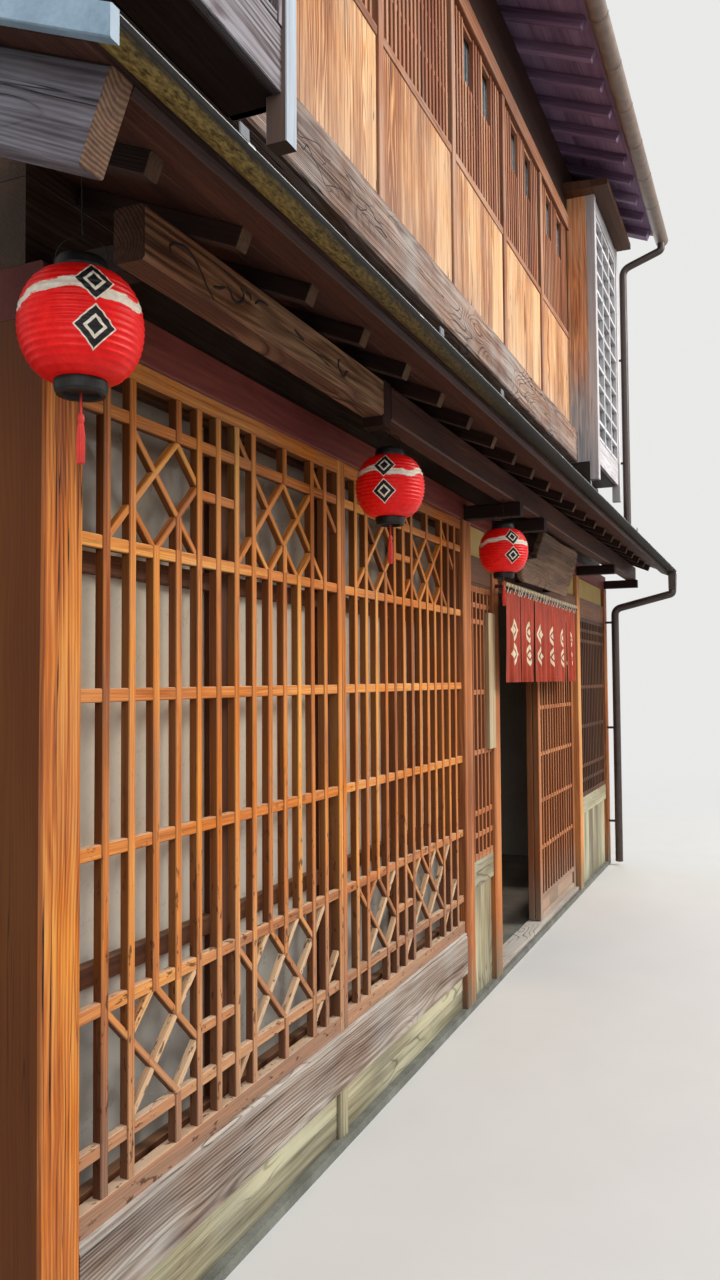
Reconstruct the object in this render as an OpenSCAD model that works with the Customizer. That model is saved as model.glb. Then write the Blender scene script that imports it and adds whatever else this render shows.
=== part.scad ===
// Two storey machiya townhouse: a lattice front under a pent roof, and a gable roof

/* [Plan] */
// Half ken, the spacing of the front's grid lines
half_ken = 909; // [850:1:970]
// Width of the last bay, beside the party wall
end_bay_w = 1060; // [960:1:1150]
// Depth of the house between the centres of its walls, in half kens
depth_bays = 8; // [6:1:10]
// Side of the square main posts
post_w = 120; // [105:1:140]
// Thickness of the side and rear walls
wall_t = 90; // [70:1:100]
// Set back of a wall's face from the faces of the main posts
wall_recess = 15; // [8:1:20]
// Height of the stone footing and of the floor inside it
footing_h = 30; // [20:1:60]
// Width of the stone footing
footing_w = 180; // [150:1:240]

/* [Lattice window] */
// Height of the sill beam's underside
sill_z = 186; // [150:1:260]
// Height of the sill beam
sill_h = 180; // [140:1:220]
// Height of the lattice frame's bottom rail
frame_low_h = 51; // [40:1:70]
// Height of the lattice frame's top rail
frame_top_h = 45; // [36:1:60]
// Clear strip below the lowest lattice rail
strip_low_h = 85; // [70:1:110]
// Clear strip above the highest lattice rail
strip_top_h = 74; // [60:1:100]
// Clear height of each diamond band
band_h = 261; // [235:1:290]
// Height of the lattice window's top over the ground
head_z = 2223; // [2080:1:2380]
// Height of a lattice rail
rail_h = 30; // [22:1:40]
// Width of a lattice bar, and of a diagonal
bar_w = 24; // [18:1:30]
// Depth of a lattice bar
bar_d = 24; // [20:1:32]
// Set back of the rails from the faces of the bars
rail_recess = 3; // [1:1:6]
// Set back of the lattice from the faces of the posts
lattice_recess = 12; // [6:1:24]
// Width of the mullion between the two panels
mullion_w = 60; // [50:2:80]
// Set back of the kickboards from the faces of the posts
kick_recess = 26; // [15:1:40]
// Thickness of the kickboards
kick_t = 24; // [18:1:36]

/* [Window sashes] */
// Set back of the sashes from the faces of the posts
sash_recess = 70; // [60:1:78]
// Depth of the sash frames
sash_d = 30; // [24:1:34]
// Width of a sash stile where two sashes meet
sash_stile_w = 84; // [60:1:100]
// Height of a sash rail
sash_rail_h = 46; // [36:1:60]
// Thickness of the glass
glass_t = 4; // [3:1:6]
// Number of sashes behind the lattice
sash_n = 4; // [2:1:6]

/* [Entrance] */
// Centre of the third post to the centre of the door jamb
side_bay_w = 473; // [430:1:540]
// Width of the door jamb
jamb_w = 110; // [90:1:125]
// Centre of the door jamb to the centre of the door post
entry_bay_w = 2170; // [2000:1:2300]
// Width of the door post
door_post_w = 100; // [85:1:120]
// Height of the plaster over the lintel
over_h = 143; // [100:1:200]
// Height of the lintel
lintel_h = 140; // [100:1:180]
// Height of the threshold
threshold_h = 20; // [15:1:30]
// Thickness of a door leaf
leaf_t = 34; // [28:1:38]
// Overlap of the two door leaves when they are shut
leaf_lap = 60; // [40:1:90]
// Clearance round a moving leaf
leaf_gap = 6; // [5:1:8]
// Width of a leaf's stile
leaf_stile_w = 58; // [45:1:75]
// Height of a leaf's kick panel
leaf_kick_h = 140; // [100:1:240]
// Number of bars in a leaf
leaf_bars_n = 12; // [9:1:14]
// Number of rails in a leaf
leaf_rails_n = 5; // [3:1:6]
// Height of the boarding beneath the lattices beside the door
side_kick_h = 500; // [400:1:600]
// Height of the rail over that boarding
side_rail_h = 118; // [90:1:140]

/* [Door curtain and sign] */
// Width of the curtain
noren_w = 1720; // [1500:1:1800]
// Drop of the curtain
noren_h = 470; // [380:1:560]
// Thickness of the curtain's folds
noren_t = 10; // [6:1:16]
// Diameter of the curtain rod
rod_d = 24; // [18:1:30]
// Side of the rod's brackets
bracket_w = 18; // [14:1:22]
// Clear distance from the posts' faces to the rod
rod_out = 64; // [40:1:90]
// Width of the sign board
sign_w = 112; // [90:1:130]
// Height of the sign board
sign_h = 660; // [500:1:760]
// Thickness of the sign board
sign_t = 22; // [15:1:30]
// Width of the slab that hangs over the entrance
slab_w = 1200; // [900:1:1400]
// Height of that slab
slab_h = 290; // [240:1:320]
// Thickness of that slab
slab_t = 34; // [25:1:45]
// Angle by which its top leans out
slab_lean = 17.6; // [0:0.1:25]

/* [Pent roof] */
// Rise over run of both roofs
slope = 0.42; // [0.36:0.01:0.46]
// Height of the pent rafters' tips over the top of the lattice window
pent_rise = 122; // [110:1:150]
// Reach of the pent rafters past the lattice
pent_out = 375; // [330:1:420]
// Width of a pent rafter
pent_rafter_w = 38; // [30:1:50]
// Height of a pent rafter
pent_rafter_h = 45; // [38:1:60]
// Rafters in one half ken
rafters_per_bay = 3; // [2:1:4]
// Thickness of the roof boards
deck_t = 16; // [12:1:24]
// Thickness of the pent roof's covering
pent_cover_t = 34; // [25:1:50]
// Overhang of the pent roof past the left post
pent_left_out = 490; // [400:1:560]
// Overhang of the pent roof's covering past its rafters
pent_drip = 138; // [120:1:160]
// Height of the eave purlin
purlin_h = 108; // [90:1:130]
// Width of the eave purlin
purlin_w = 72; // [60:1:90]
// Distance from the lattice to the purlin's front
purlin_out = 250; // [230:1:280]
// Length of the first purlin, from the left post's centre
purlin_first_l = 1130; // [1000:1:1250]
// Width of the brackets and of the hanging strut
arm_w = 60; // [45:1:75]
// Height of the verge board
verge_h = 150; // [120:1:170]
// Thickness of the verge board
verge_t = 50; // [40:1:60]
// Set back of the verge board from the roof boards' edge
verge_in = 50; // [30:1:70]
// Reach of the verge board past the rafters' tips
verge_tip_out = 115; // [80:1:130]
// Width of the sheet metal that caps the verge
verge_cap_w = 20; // [15:1:30]
// Width of the board under the eave's edge
eave_board_w = 62; // [45:1:80]
// Thickness of the board under the eave's edge
eave_board_t = 20; // [15:1:25]
// Diameter of the pent roof's half round gutter
gutter_d = 54; // [48:1:70]
// Width of the box that drains the gutter
hopper_w = 90; // [80:1:100]
// Height from the bottom of that box to the gutter's rim
hopper_h = 160; // [140:1:180]
// Wall of the gutters
gutter_t = 4; // [3:1:6]
// Outer diameter of the downpipes
pipe_d = 60; // [50:1:70]
// Clear distance from the post's face to the lower downpipe
pipe_out = 48; // [30:1:60]
// Drop of a downpipe's slanted run
pipe_bend_h = 110; // [90:1:150]
// Height of the clips that hold the downpipes
clip_h = 20; // [14:1:30]

/* [Upper storey] */
// Set back of the upper boards from the lattice
upper_recess = 38; // [30:1:50]
// Height of the upper floor's underside over the head beam
floor_rise = 90; // [60:1:160]
// Thickness of the upper floor
floor_t = 60; // [40:1:90]
// Height of the wall between the head beam and the upper storey
spandrel_h = 719; // [680:1:760]
// Height of the weathered beam
beam_h = 230; // [200:1:260]
// Height of the upper boards
boards_h = 670; // [600:1:740]
// Thickness of the upper boards
boards_t = 22; // [16:1:30]
// Height of the upper middle rail
mid_rail_h = 40; // [30:1:50]
// Clear height of the upper lattice
upper_lattice_h = 760; // [680:1:840]
// Height of the upper top rail
top_rail_h = 100; // [80:1:120]
// Width of the upper posts' faces
upper_post_w = 50; // [40:1:60]
// How far the upper posts stand proud of the boards
upper_proud = 12; // [8:1:16]
// Number of bars in a bay of the upper lattice
upper_bars_n = 18; // [12:1:20]
// Width and depth of an upper bar
upper_bar_w = 22; // [16:1:26]
// Height of the slots at the top of three bays
slot_h = 300; // [200:1:380]

/* [Oriel boxes] */
// How far a box stands out from the upper boards
box_out = 200; // [170:1:230]
// Distance from the left post's centre to the left box's right side
box_left_w = 740; // [680:1:800]
// Distance from the right post's centre back to the right box's right side
box_right_gap = 44; // [30:1:58]
// Rise of the boxes past the upper storey's top rail
box_rise = 135; // [100:1:150]
// Height of the boxes' heads
box_head_h = 100; // [80:1:120]
// Side of a box's corner posts
box_post_w = 62; // [50:1:75]
// Reach of the corner posts below the box
box_leg_h = 130; // [100:1:200]
// Thickness of a box's side boards and floor
box_board_t = 26; // [20:1:34]
// Height of the plain panel below a box's lattice
box_panel_h = 178; // [140:1:220]
// Number of bars and of rails in a box's lattice
box_bars = [2, 11];
// Height of a box's roof at its front
box_roof_h = 46; // [35:1:60]
// Overhang of a box's roof
box_roof_out = 110; // [80:1:130]

/* [Main roof] */
// Height of the main rafters' tips over the upper storey's top rail
eave_rise = 205; // [190:1:260]
// Reach of the main rafters past the upper boards
eave_out = 458; // [400:1:500]
// Height of a main rafter
rafter_h = 66; // [50:1:80]
// Width of a main rafter
rafter_w = 48; // [40:1:60]
// Thickness of the tile covering
tile_t = 62; // [50:1:80]
// Overhang of the main roof past the left wall
roof_left_out = 420; // [300:1:500]
// Overhang of the main roof past the party wall
roof_right_out = 20; // [10:1:40]
// Thickness of the ridge board
ridge_t = 30; // [20:1:40]
// Width of the ridge tiles
ridge_w = 230; // [180:1:280]
// Height of the ridge tiles
ridge_h = 170; // [120:1:220]
// Overhang of the main roof's covering past its rafters
drip_out = 70; // [60:1:85]
// Outer diameter of the main gutter
main_gutter_d = 104; // [90:1:120]
// Drop of the main gutter below the roof's edge
gutter_drop = 44; // [30:1:60]

/* [Lanterns] */
// Diameter of a lantern
lantern_d = 226; // [200:1:240]
// Height of a lantern's paper body
lantern_h = 192; // [170:1:210]
// Diameter of a lantern's end caps
lantern_cap_d = 92; // [70:1:100]
// Height of a lantern's end caps
lantern_cap_h = 24; // [16:1:32]
// Distances of the lanterns from the left post's centre
lantern_xs = [-195, 1265, 2610];
// Drops of their upper caps below the purlin
hook_ls = [52, 70, 110];
// Diameter of the hooks
hook_d = 6; // [4:1:8]
// Length of a lantern's tassel
tassel_l = 120; // [80:1:160]

/* [Rear] */
// Height of the rear ground windows' sills
rear_sill_z = 900; // [700:1:1000]
// Height of the rear ground windows
rear_window_h = 1000; // [800:1:1200]
// Height of the rear upper windows
rear_upper_h = 700; // [600:1:800]
// Width of a rear bar
rear_bar_w = 30; // [24:1:40]

/* [Hidden] */
$fn = 32;

// Plan
house_w = 6 * half_ken + end_bay_w;
depth = depth_bays * half_ken;
x_l = -house_w / 2;
x_r = house_w / 2;
out_l = x_l - post_w / 2;
out_r = x_r + post_w / 2;
face_y = -depth / 2 - post_w / 2;
back_y = -face_y;
post_back_y = face_y + post_w;
lattice_y = face_y + lattice_recess;
upper_y = lattice_y + upper_recess;
function grid(k) = x_l + k * half_ken;

// Heights of the lattice window: what its rails and diamond bands leave is three plain stages
stages_n = 3;
stage_h = (head_z - sill_z - sill_h - frame_low_h - frame_top_h - strip_low_h - strip_top_h
    - 2 * band_h - 6 * rail_h) / stages_n;
sill_top = sill_z + sill_h;
frame_z = sill_top + frame_low_h;
rail_1 = frame_z + strip_low_h;
rail_2 = rail_1 + rail_h + band_h;
rail_3 = rail_2 + rail_h + stage_h;
rail_4 = rail_3 + rail_h + stage_h;
rail_5 = rail_4 + rail_h + stage_h;
rail_6 = rail_5 + rail_h + band_h;
frame_top_z = rail_6 + rail_h + strip_top_h;
head_h = purlin_h;
head_top = head_z + head_h;
head_recess = 5;
frame_proud = 8;
diagonal_w = 2 * bar_w / 3;
slim_bar_w = 0.75 * bar_w;
slim_rail_h = 0.8 * rail_h;
kick_cap_out = 14;
plaster_in = 20;

// Lattice bars: 13 to a panel, ten to a half ken
bars_n = 13;
bar_pitch = half_ken / 10;
panel_w = (3 * half_ken - post_w) / 2;
panel_clear = panel_w - mullion_w / 2;
bar_margin = (panel_clear - (bars_n - 1) * bar_pitch) / 2;
rail_d = bar_d - rail_recess;

// Entrance
x_jamb = grid(3) + side_bay_w;
x_door_post = x_jamb + entry_bay_w;
entry_l = x_jamb + jamb_w / 2;
entry_r = x_door_post - door_post_w / 2;
leaf_w = (entry_r - entry_l + leaf_lap) / 2;
leaf_low = footing_h + threshold_h + leaf_gap;
track_depth = 12;
lintel_recess = 10;
threshold_in = 18;
leaf_panel_t = 10;
leaf_bar_in = 3;
leaf_bar_d = leaf_t - 4 * leaf_bar_in;
lintel_z = head_z - over_h - lintel_h;
leaf_top = lintel_z + track_depth - leaf_gap;
outer_y = lattice_y + bar_d + 2;
inner_y = outer_y + leaf_t + leaf_gap;
side_rail_z = side_kick_h + footing_h;
side_lattice_z = side_rail_z + side_rail_h;

// Curtain and sign
noren_left_out = 130;
rod_end = 40;
sign_drop = 120;
slab_in = 80;
slab_back = 8;
slab_rise = 41;
rod_y = face_y - rod_out - rod_d / 2;
rod_z = lintel_z + rod_d;
noren_x = entry_l - noren_left_out;
sign_z = lintel_z - sign_drop;
slab_x = x_jamb + slab_in;
slab_y = rod_y + slab_back;
slab_z = rod_z + slab_rise;

// Pent roof
arm_out = 20;
arm_rise = 4;
pent_tip_y = lattice_y - pent_out;
pent_tip_z = head_z + pent_rise;
pent_l = x_l - post_w / 2 - pent_left_out;
function pent_under(y) = pent_tip_z + slope * (y - pent_tip_y);
purlin_y = lattice_y - purlin_out;
purlin_z = pent_under(purlin_y) - purlin_h;
rafter_pitch = half_ken / rafters_per_bay;
pent_edge_y = pent_tip_y - pent_drip;
pent_cover_z = pent_rafter_h + deck_t;
pent_top_z = pent_cover_z + pent_cover_t;
gutter_y = pent_edge_y - gutter_d / 2;
gutter_out_y = pent_edge_y - gutter_d;
gutter_z = pent_under(pent_edge_y) + pent_cover_z + pent_cover_t / 4;
strut_x = x_l + purlin_first_l;
verge_x = pent_l + verge_in;
first_rafter_x = x_l + lantern_xs[0] - pent_rafter_w / 2;

// Upper storey
pane_in = 44;
rear_pane_in = 10;
mid_rail_d = 40;
upper_bar_in = 4;
box_recess = 14;
box_lattice_in = 10;
rear_rail_in = 4;
beam_z = head_top + spandrel_h;
floor_z = head_top + floor_rise;
beam_top = beam_z + beam_h;
mid_rail_z = beam_top + boards_h;
upper_lattice_z = mid_rail_z + mid_rail_h;
top_rail_z = upper_lattice_z + upper_lattice_h;
top_rail_top = top_rail_z + top_rail_h;
box_y = upper_y - box_out;
box_l1 = x_l + box_left_w;
box_r0 = grid(6) - upper_post_w / 2;
box_r1 = x_r - box_right_gap;
box_top = top_rail_top + box_rise;
box_lattice_z = beam_z + box_panel_h;
box_lattice_top = box_top - box_head_h;
upper_bay_clear = half_ken - upper_post_w;
upper_pitch = (upper_bay_clear + upper_bar_w) / (upper_bars_n + 1);

// Main roof
deck_out = 20;
verge_tile_out = 30;
ridge_cap_h = 60;
tip_y = upper_y - eave_out;
eave_z = top_rail_top + eave_rise;
function roof_under(y) = eave_z + slope * (y - tip_y);
roof_l = out_l - roof_left_out;
roof_r = out_r + roof_right_out;
edge_y = tip_y - drip_out;
ridge_z = roof_under(-ridge_t / 2);
main_gutter_y = edge_y - main_gutter_d / 8;
main_gutter_z = roof_under(edge_y) + rafter_h + deck_t - gutter_drop;
gable_l = out_l + wall_recess;
gable_r = out_r - wall_recess;
rear_y0 = back_y - wall_recess - wall_t;
rear_y1 = back_y - wall_recess;

// Downpipes and lanterns
collar_out = 8;
tassel_d = 14;
lower_pipe_x = x_r - post_w / 2 + 0.75 * pipe_d;
upper_pipe_x = out_r - 0.75 * pipe_d;
lantern_y = purlin_y + purlin_w / 2;

// A box given by its lowest and highest corner
module block(a, b) translate(a) cube([b[0] - a[0], b[1] - a[1], b[2] - a[2]]);

// Stands a drawing up: its x stays, its y becomes height, and it is d deep from y0 back
module upright(y0, d) translate([0, y0 + d, 0]) rotate([90, 0, 0]) linear_extrude(d) children();

// Draws a section in y and z and carries it along x from x0 to x1
module along(x0, x1) translate([x0, 0, 0]) rotate([90, 0, 90]) linear_extrude(x1 - x0) children();

// Centre of bar k in a lattice panel
function bar_x(k) = bar_margin + (k - 1) * bar_pitch;

// Diagonals of the first diamond: bar at the band's edge, side it runs to, first and last bar it meets
first_diamond = [[0, 1, 2, 3], [2, 1, 2, 5], [4, 1, 4, 5], [4, -1, 1, 4], [6, -1, 3, 5]];
// Diagonals of the second, which the right panel sets one bar further to the left
second_diamond = [[6, 1, 8, 9], [8, 1, 8, 11], [10, 1, 10, 13], [10, -1, 7, 10], [12, -1, 9, 12],
    [14, -1, 11, 12], [13, 1, 13, 14]];
// Diagonals that run on across the strip beyond the band
strip_diagonals = [[8, 1, 7, 8], [13, 1, 12, 13]];
// Bars that only start at a crossing, and bars that run through the bands, for each panel's shift
function half_bars(shift) = [4, 10 + shift];
function full_bars(shift) = shift == 0 ? [1, 2, 5, 6, 7, 8, 12, 13] : [1, 2, 5, 6, 7, 11, 12, 13];
function shifted(table, shift) = [for (d = table) [d[0] + shift, d[1], d[2] + shift, d[3] + shift]];

// One diagonal, from the band's edge at height 0 down at 45 degrees
module diagonal(d) {
    reach = 2 * band_h;
    translate([bar_x(d[0]), 0]) rotate(d[1] > 0 ? -45 : -135)
        translate([-reach, -diagonal_w / 2]) square([2 * reach, diagonal_w]);
}

// The diagonals and the short rail of a band whose edge is at height 0, and of its strip above
module band_rails(strip_h, shift) {
    for (d = concat(first_diamond, shifted(second_diamond, shift))) intersection() {
        diagonal(d);
        translate([bar_x(d[2]), -band_h - rail_h / 2])
            square([bar_x(d[3]) - bar_x(d[2]), band_h + rail_h]);
    }
    for (d = shifted(strip_diagonals, shift)) intersection() {
        diagonal(d);
        translate([bar_x(d[2]), rail_h / 2])
            square([bar_x(d[3]) - bar_x(d[2]), strip_h + rail_h]);
    }
    translate([bar_x(5), -bar_pitch - rail_h]) square([2 * bar_pitch, bar_w]);
}

// The bars of a band whose edge is at height 0, and of its strip above
module band_bars(strip_h, shift) {
    for (k = full_bars(shift)) translate([bar_x(k) - bar_w / 2, -band_h])
        square([bar_w, band_h + rail_h + strip_h]);
    for (k = half_bars(shift)) translate([bar_x(k) - bar_w / 2, 0]) {
        translate([0, -band_h]) square([bar_w, band_h - 2 * bar_pitch]);
        square([bar_w, rail_h + strip_h]);
    }
}

// A lattice panel: bars, rails and diamonds in its clear width, with its half of the mullion
module lattice_panel(mullion_on_right) {
    left = mullion_on_right ? 0 : mullion_w / 2;
    shift = mullion_on_right ? 0 : -1;
    upright(lattice_y + rail_recess, rail_d) {
        for (z = [rail_1, rail_2, rail_3, rail_4, rail_5, rail_6])
            translate([0, z]) square([panel_w, rail_h]);
        translate([left, rail_6]) band_rails(strip_top_h, shift);
        translate([left, rail_1 + rail_h]) mirror([0, 1]) band_rails(strip_low_h, shift);
    }
    upright(lattice_y, bar_d) {
        for (k = [1 : bars_n]) translate([left + bar_x(k) - bar_w / 2, rail_2])
            square([bar_w, rail_5 + rail_h - rail_2]);
        translate([left, rail_6]) band_bars(strip_top_h, shift);
        translate([left, rail_1 + rail_h]) mirror([0, 1]) band_bars(strip_low_h, shift);
    }
    upright(lattice_y, bar_d + frame_proud) {
        translate([0, sill_top]) square([panel_w, frame_low_h]);
        translate([0, frame_top_z]) square([panel_w, frame_top_h]);
        translate([mullion_on_right ? panel_w - mullion_w / 2 : 0, sill_top])
            square([mullion_w / 2, head_z - sill_top]);
    }
}

// Upright bars evenly spaced over a clear width, with rails at the given heights
module barred(w, z0, z1, n, bar, rails, rail) {
    pitch = (w - n * bar) / (n + 1) + bar;
    for (k = [1 : n]) translate([k * pitch - bar, z0]) square([bar, z1 - z0]);
    for (z = rails) translate([0, z]) square([w, rail]);
}

// A straight pipe from a to b
module pipe_run(a, b, d) {
    v = b - a;
    l = norm(v);
    translate(a) rotate([0, acos(v[2] / l), atan2(v[1], v[0])]) cylinder(d = d, h = l);
}

// A pipe along a path of points, with a collar at each bend
module pipe(points, d) {
    last = len(points) - 1;
    for (i = [0 : last - 1]) pipe_run(points[i], points[i + 1], d);
    for (i = [1 : last - 1]) translate(points[i]) sphere(d = d + collar_out);
}

module foundation() color("dimgray") difference() {
    block([out_l, face_y, 0], [out_r, back_y, footing_h]);
    block([out_l + footing_w, face_y + footing_w, -1],
        [out_r - footing_w, back_y - footing_w, footing_h + 1]);
}

module earth_floor() color("rosybrown")
    block([out_l + footing_w, face_y + footing_w, 0],
        [out_r - footing_w, back_y - footing_w, footing_h]);

module front_posts() color("peru") {
    for (x = [x_l, grid(3), x_r])
        block([x - post_w / 2, face_y, footing_h], [x + post_w / 2, post_back_y, head_z]);
    block([x_jamb - jamb_w / 2, face_y, footing_h], [x_jamb + jamb_w / 2, post_back_y, head_z]);
    block([x_door_post - door_post_w / 2, face_y, footing_h],
        [x_door_post + door_post_w / 2, post_back_y, head_z]);
}

module front_sill() color("rosybrown")
    block([x_l + post_w / 2, face_y, sill_z], [grid(3) - post_w / 2, post_back_y, sill_top]);

module kickboards() color("darkkhaki") {
    y0 = face_y + kick_recess;
    block([x_l + post_w / 2, y0, footing_h], [grid(3) - post_w / 2, y0 + kick_t, sill_z]);
    block([grid(1.5) - mullion_w / 2, face_y + kick_recess / 2, footing_h],
        [grid(1.5) + mullion_w / 2, y0, sill_z]);
    for (b = side_bays) {
        block([b[0], y0, footing_h], [b[1], y0 + kick_t, side_rail_z]);
        block([b[0], y0 - kick_cap_out, side_rail_z], [b[1], y0 + kick_t, side_lattice_z]);
    }
}
// Clear bays of the narrow lattices to the left and right of the entrance
side_bays = [[grid(3) + post_w / 2, x_jamb - jamb_w / 2],
    [x_door_post + door_post_w / 2, x_r - post_w / 2]];

module lattice_left() color("chocolate") translate([x_l + post_w / 2, 0, 0])
    lattice_panel(true);

module lattice_right() color("chocolate") translate([grid(1.5), 0, 0])
    lattice_panel(false);

module window_sashes() color("saddlebrown") {
    w = 3 * half_ken - post_w;
    pitch = w / sash_n;
    translate([x_l + post_w / 2, 0, 0]) upright(face_y + sash_recess, sash_d) {
        for (z = [sill_top, rail_2 + sash_rail_h, rail_5 - sash_rail_h, head_z - sash_rail_h])
            translate([0, z]) square([w, sash_rail_h]);
        for (k = [0 : sash_n]) {
            x0 = max(0, k * pitch - sash_stile_w / 2);
            x1 = min(w, k * pitch + sash_stile_w / 2);
            translate([x0, sill_top]) square([x1 - x0, head_z - sill_top]);
        }
    }
}

// Panes in the front's window, in the lattices beside the door, upstairs, in the boxes, behind
module glass() color("tan") {
    y0 = face_y + sash_recess + sash_d;
    block([x_l + post_w / 2, y0, sill_top], [grid(3) - post_w / 2, y0 + glass_t, head_z]);
    for (b = side_bays) block([b[0], y0, side_lattice_z], [b[1], y0 + glass_t, lintel_z]);
    for (b = upper_bays) block([b[0], upper_y + pane_in, upper_lattice_z],
        [b[1], upper_y + pane_in + glass_t, top_rail_z]);
    for (b = boxes) block([b[0] + box_post_w, box_y + pane_in, box_lattice_z],
        [b[1] - box_post_w, box_y + pane_in + glass_t, box_lattice_top]);
    for (w = rear_lower) block([w[0], rear_y0 + rear_pane_in, rear_sill_z],
        [w[1], rear_y0 + rear_pane_in + glass_t, rear_sill_z + rear_window_h]);
    for (w = rear_upper) block([w[0], rear_y0 + rear_pane_in, top_rail_z - rear_upper_h],
        [w[1], rear_y0 + rear_pane_in + glass_t, top_rail_z]);
}

module head_beam() color("saddlebrown")
    block([out_l, face_y + head_recess, head_z], [out_r, post_back_y, head_top]);

// Bays over the entrance: beside it, over it and beside it again
over_bays = [side_bays[0], [entry_l, entry_r], side_bays[1]];

module entry_lintel() color("sienna") difference() {
    for (b = over_bays)
        block([b[0], face_y + lintel_recess, lintel_z], [b[1], post_back_y, lintel_z + lintel_h]);
    for (y = [outer_y, inner_y])
        block([entry_l - 1, y - leaf_gap, lintel_z - 1],
            [entry_r + 1, y + leaf_t + leaf_gap, lintel_z + track_depth]);
}

module entry_plaster() color("burlywood")
    for (b = over_bays)
        block([b[0], face_y + kick_recess, lintel_z + lintel_h], [b[1], post_back_y - plaster_in, head_z]);

module threshold() color("rosybrown")
    block([entry_l, face_y + threshold_in, footing_h], [entry_r, post_back_y, footing_h + threshold_h]);

module entry_lattices() color("chocolate") {
    for (b = side_bays) translate([b[0], 0, 0]) {
        w = b[1] - b[0];
        n = round(w / bar_pitch * 1.3);
        upright(lattice_y, bar_d) {
            barred(w, side_lattice_z, lintel_z, n, slim_bar_w, [], 0);
            translate([0, side_lattice_z]) square([w, rail_h]);
            translate([0, lintel_z - rail_h]) square([w, rail_h]);
        }
        upright(lattice_y + rail_recess, rail_d)
            for (z = side_rails) translate([0, z]) square([w, slim_rail_h]);
    }
}
// Heights of the rails in the lattices beside the entrance
side_rails = [for (f = [0.08, 0.16, 0.38, 0.6, 0.86, 0.92])
    side_lattice_z + f * (lintel_z - side_lattice_z)];

// A sliding door leaf: stiles, rails and bars over a kick panel
module door_leaf(x0, y0) translate([x0, 0, 0]) {
    inner_w = leaf_w - 2 * leaf_stile_w;
    bars_z = leaf_low + leaf_kick_h;
    stage = (leaf_top - leaf_stile_w - bars_z) / (leaf_rails_n + 1);
    upright(y0, leaf_t) {
        for (x = [0, leaf_w - leaf_stile_w]) translate([x, leaf_low])
            square([leaf_stile_w, leaf_top - leaf_low]);
        translate([0, leaf_low]) square([leaf_w, rail_h]);
        translate([0, bars_z - rail_h]) square([leaf_w, rail_h]);
        translate([0, leaf_top - leaf_stile_w]) square([leaf_w, leaf_stile_w]);
    }
    upright(y0 + (leaf_t - leaf_panel_t) / 2, leaf_panel_t)
        translate([leaf_stile_w - 1, leaf_low + rail_h - 1])
            square([inner_w + 2, leaf_kick_h - 2 * rail_h + 2]);
    translate([leaf_stile_w, 0, 0]) {
        upright(y0 + leaf_bar_in, leaf_bar_d)
            barred(inner_w, bars_z - 1, leaf_top - leaf_stile_w + 1, leaf_bars_n, slim_bar_w, [], 0);
        upright(y0 + 2 * leaf_bar_in, leaf_bar_d - leaf_bar_in)
            for (k = [1 : leaf_rails_n]) translate([-1, bars_z + k * stage - rail_h / 2])
                square([inner_w + 2, slim_rail_h]);
    }
}

module door_outer() color("chocolate") door_leaf(entry_r - leaf_gap - leaf_w, outer_y);

module door_inner() color("sienna") door_leaf(entry_r - leaf_gap - leaf_w, inner_y);

// The slab's natural edge, in parts of its width and of its height
slab_edge = [[0.09, 0], [0.5, 0.02], [0.98, 0], [0.99, 0.4], [1, 0.75], [0.96, 0.95], [0.9, 1],
    [0.6, 0.97], [0.19, 1], [0.17, 0.75], [0.18, 0.5], [0.06, 0.42], [0, 0.26], [0.02, 0.1]];

module sign_boards() color("burlywood") {
    block([x_jamb - jamb_w / 2 - sign_w, lattice_y - sign_t, sign_z - sign_h],
        [x_jamb - jamb_w / 2, lattice_y, sign_z]);
    translate([slab_x, slab_y, slab_z]) rotate([90 + slab_lean, 0, 0]) linear_extrude(slab_t)
        polygon([for (p = slab_edge) [p[0] * slab_w, p[1] * slab_h]]);
    for (f = [0.3, 0.85]) block([slab_x + f * slab_w, slab_y - slab_t / 2, slab_z + bracket_w],
        [slab_x + f * slab_w + bracket_w, face_y + lintel_recess, slab_z + 2 * bracket_w]);
}

module curtain_rod() color("tan") {
    translate([noren_x - rod_end, rod_y, rod_z]) rotate([0, 90, 0])
        cylinder(d = rod_d, h = noren_w + 2 * rod_end);
    for (b = [[x_jamb, face_y], [noren_x + noren_w, face_y + lintel_recess]])
        block([b[0] - bracket_w / 2, rod_y, rod_z - bracket_w / 2],
            [b[0] + bracket_w / 2, b[1], rod_z + bracket_w / 2]);
}

module noren() color("indianred") difference() {
    block([noren_x, rod_y - noren_t / 2, rod_z - rod_d / 2 - noren_h],
        [noren_x + noren_w, rod_y + noren_t / 2, rod_z]);
    translate([noren_x - 1, rod_y, rod_z]) rotate([0, 90, 0]) cylinder(d = rod_d, h = noren_w + 2);
}

module spandrel_wall() color("sienna")
    block([out_l, upper_y, head_top], [out_r, post_back_y, beam_z]);

// Centres of the brackets that stand out from the posts under the purlin
arm_xs = [grid(3), x_jamb, x_door_post, x_r];

module pent_arms() color("maroon") {
    for (x = arm_xs)
        block([x - arm_w / 2, purlin_y - arm_out, head_z + arm_rise],
            [x + arm_w / 2, face_y + head_recess, purlin_z]);
    block([x_l - arm_w / 2, purlin_y + purlin_w, purlin_z],
        [x_l + arm_w / 2, face_y + head_recess, purlin_z + arm_w]);
    block([strut_x, purlin_y, purlin_z - arm_w / 2],
        [strut_x + arm_w, purlin_y + purlin_w, purlin_z + purlin_h]);
}

module pent_purlin() color("tan") {
    section = [[purlin_y, purlin_z], [purlin_y + purlin_w, purlin_z],
        [purlin_y + purlin_w, pent_under(purlin_y + purlin_w)], [purlin_y, pent_under(purlin_y)]];
    along(out_l, strut_x) polygon(section);
    along(strut_x + arm_w, out_r) polygon(section);
}

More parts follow.
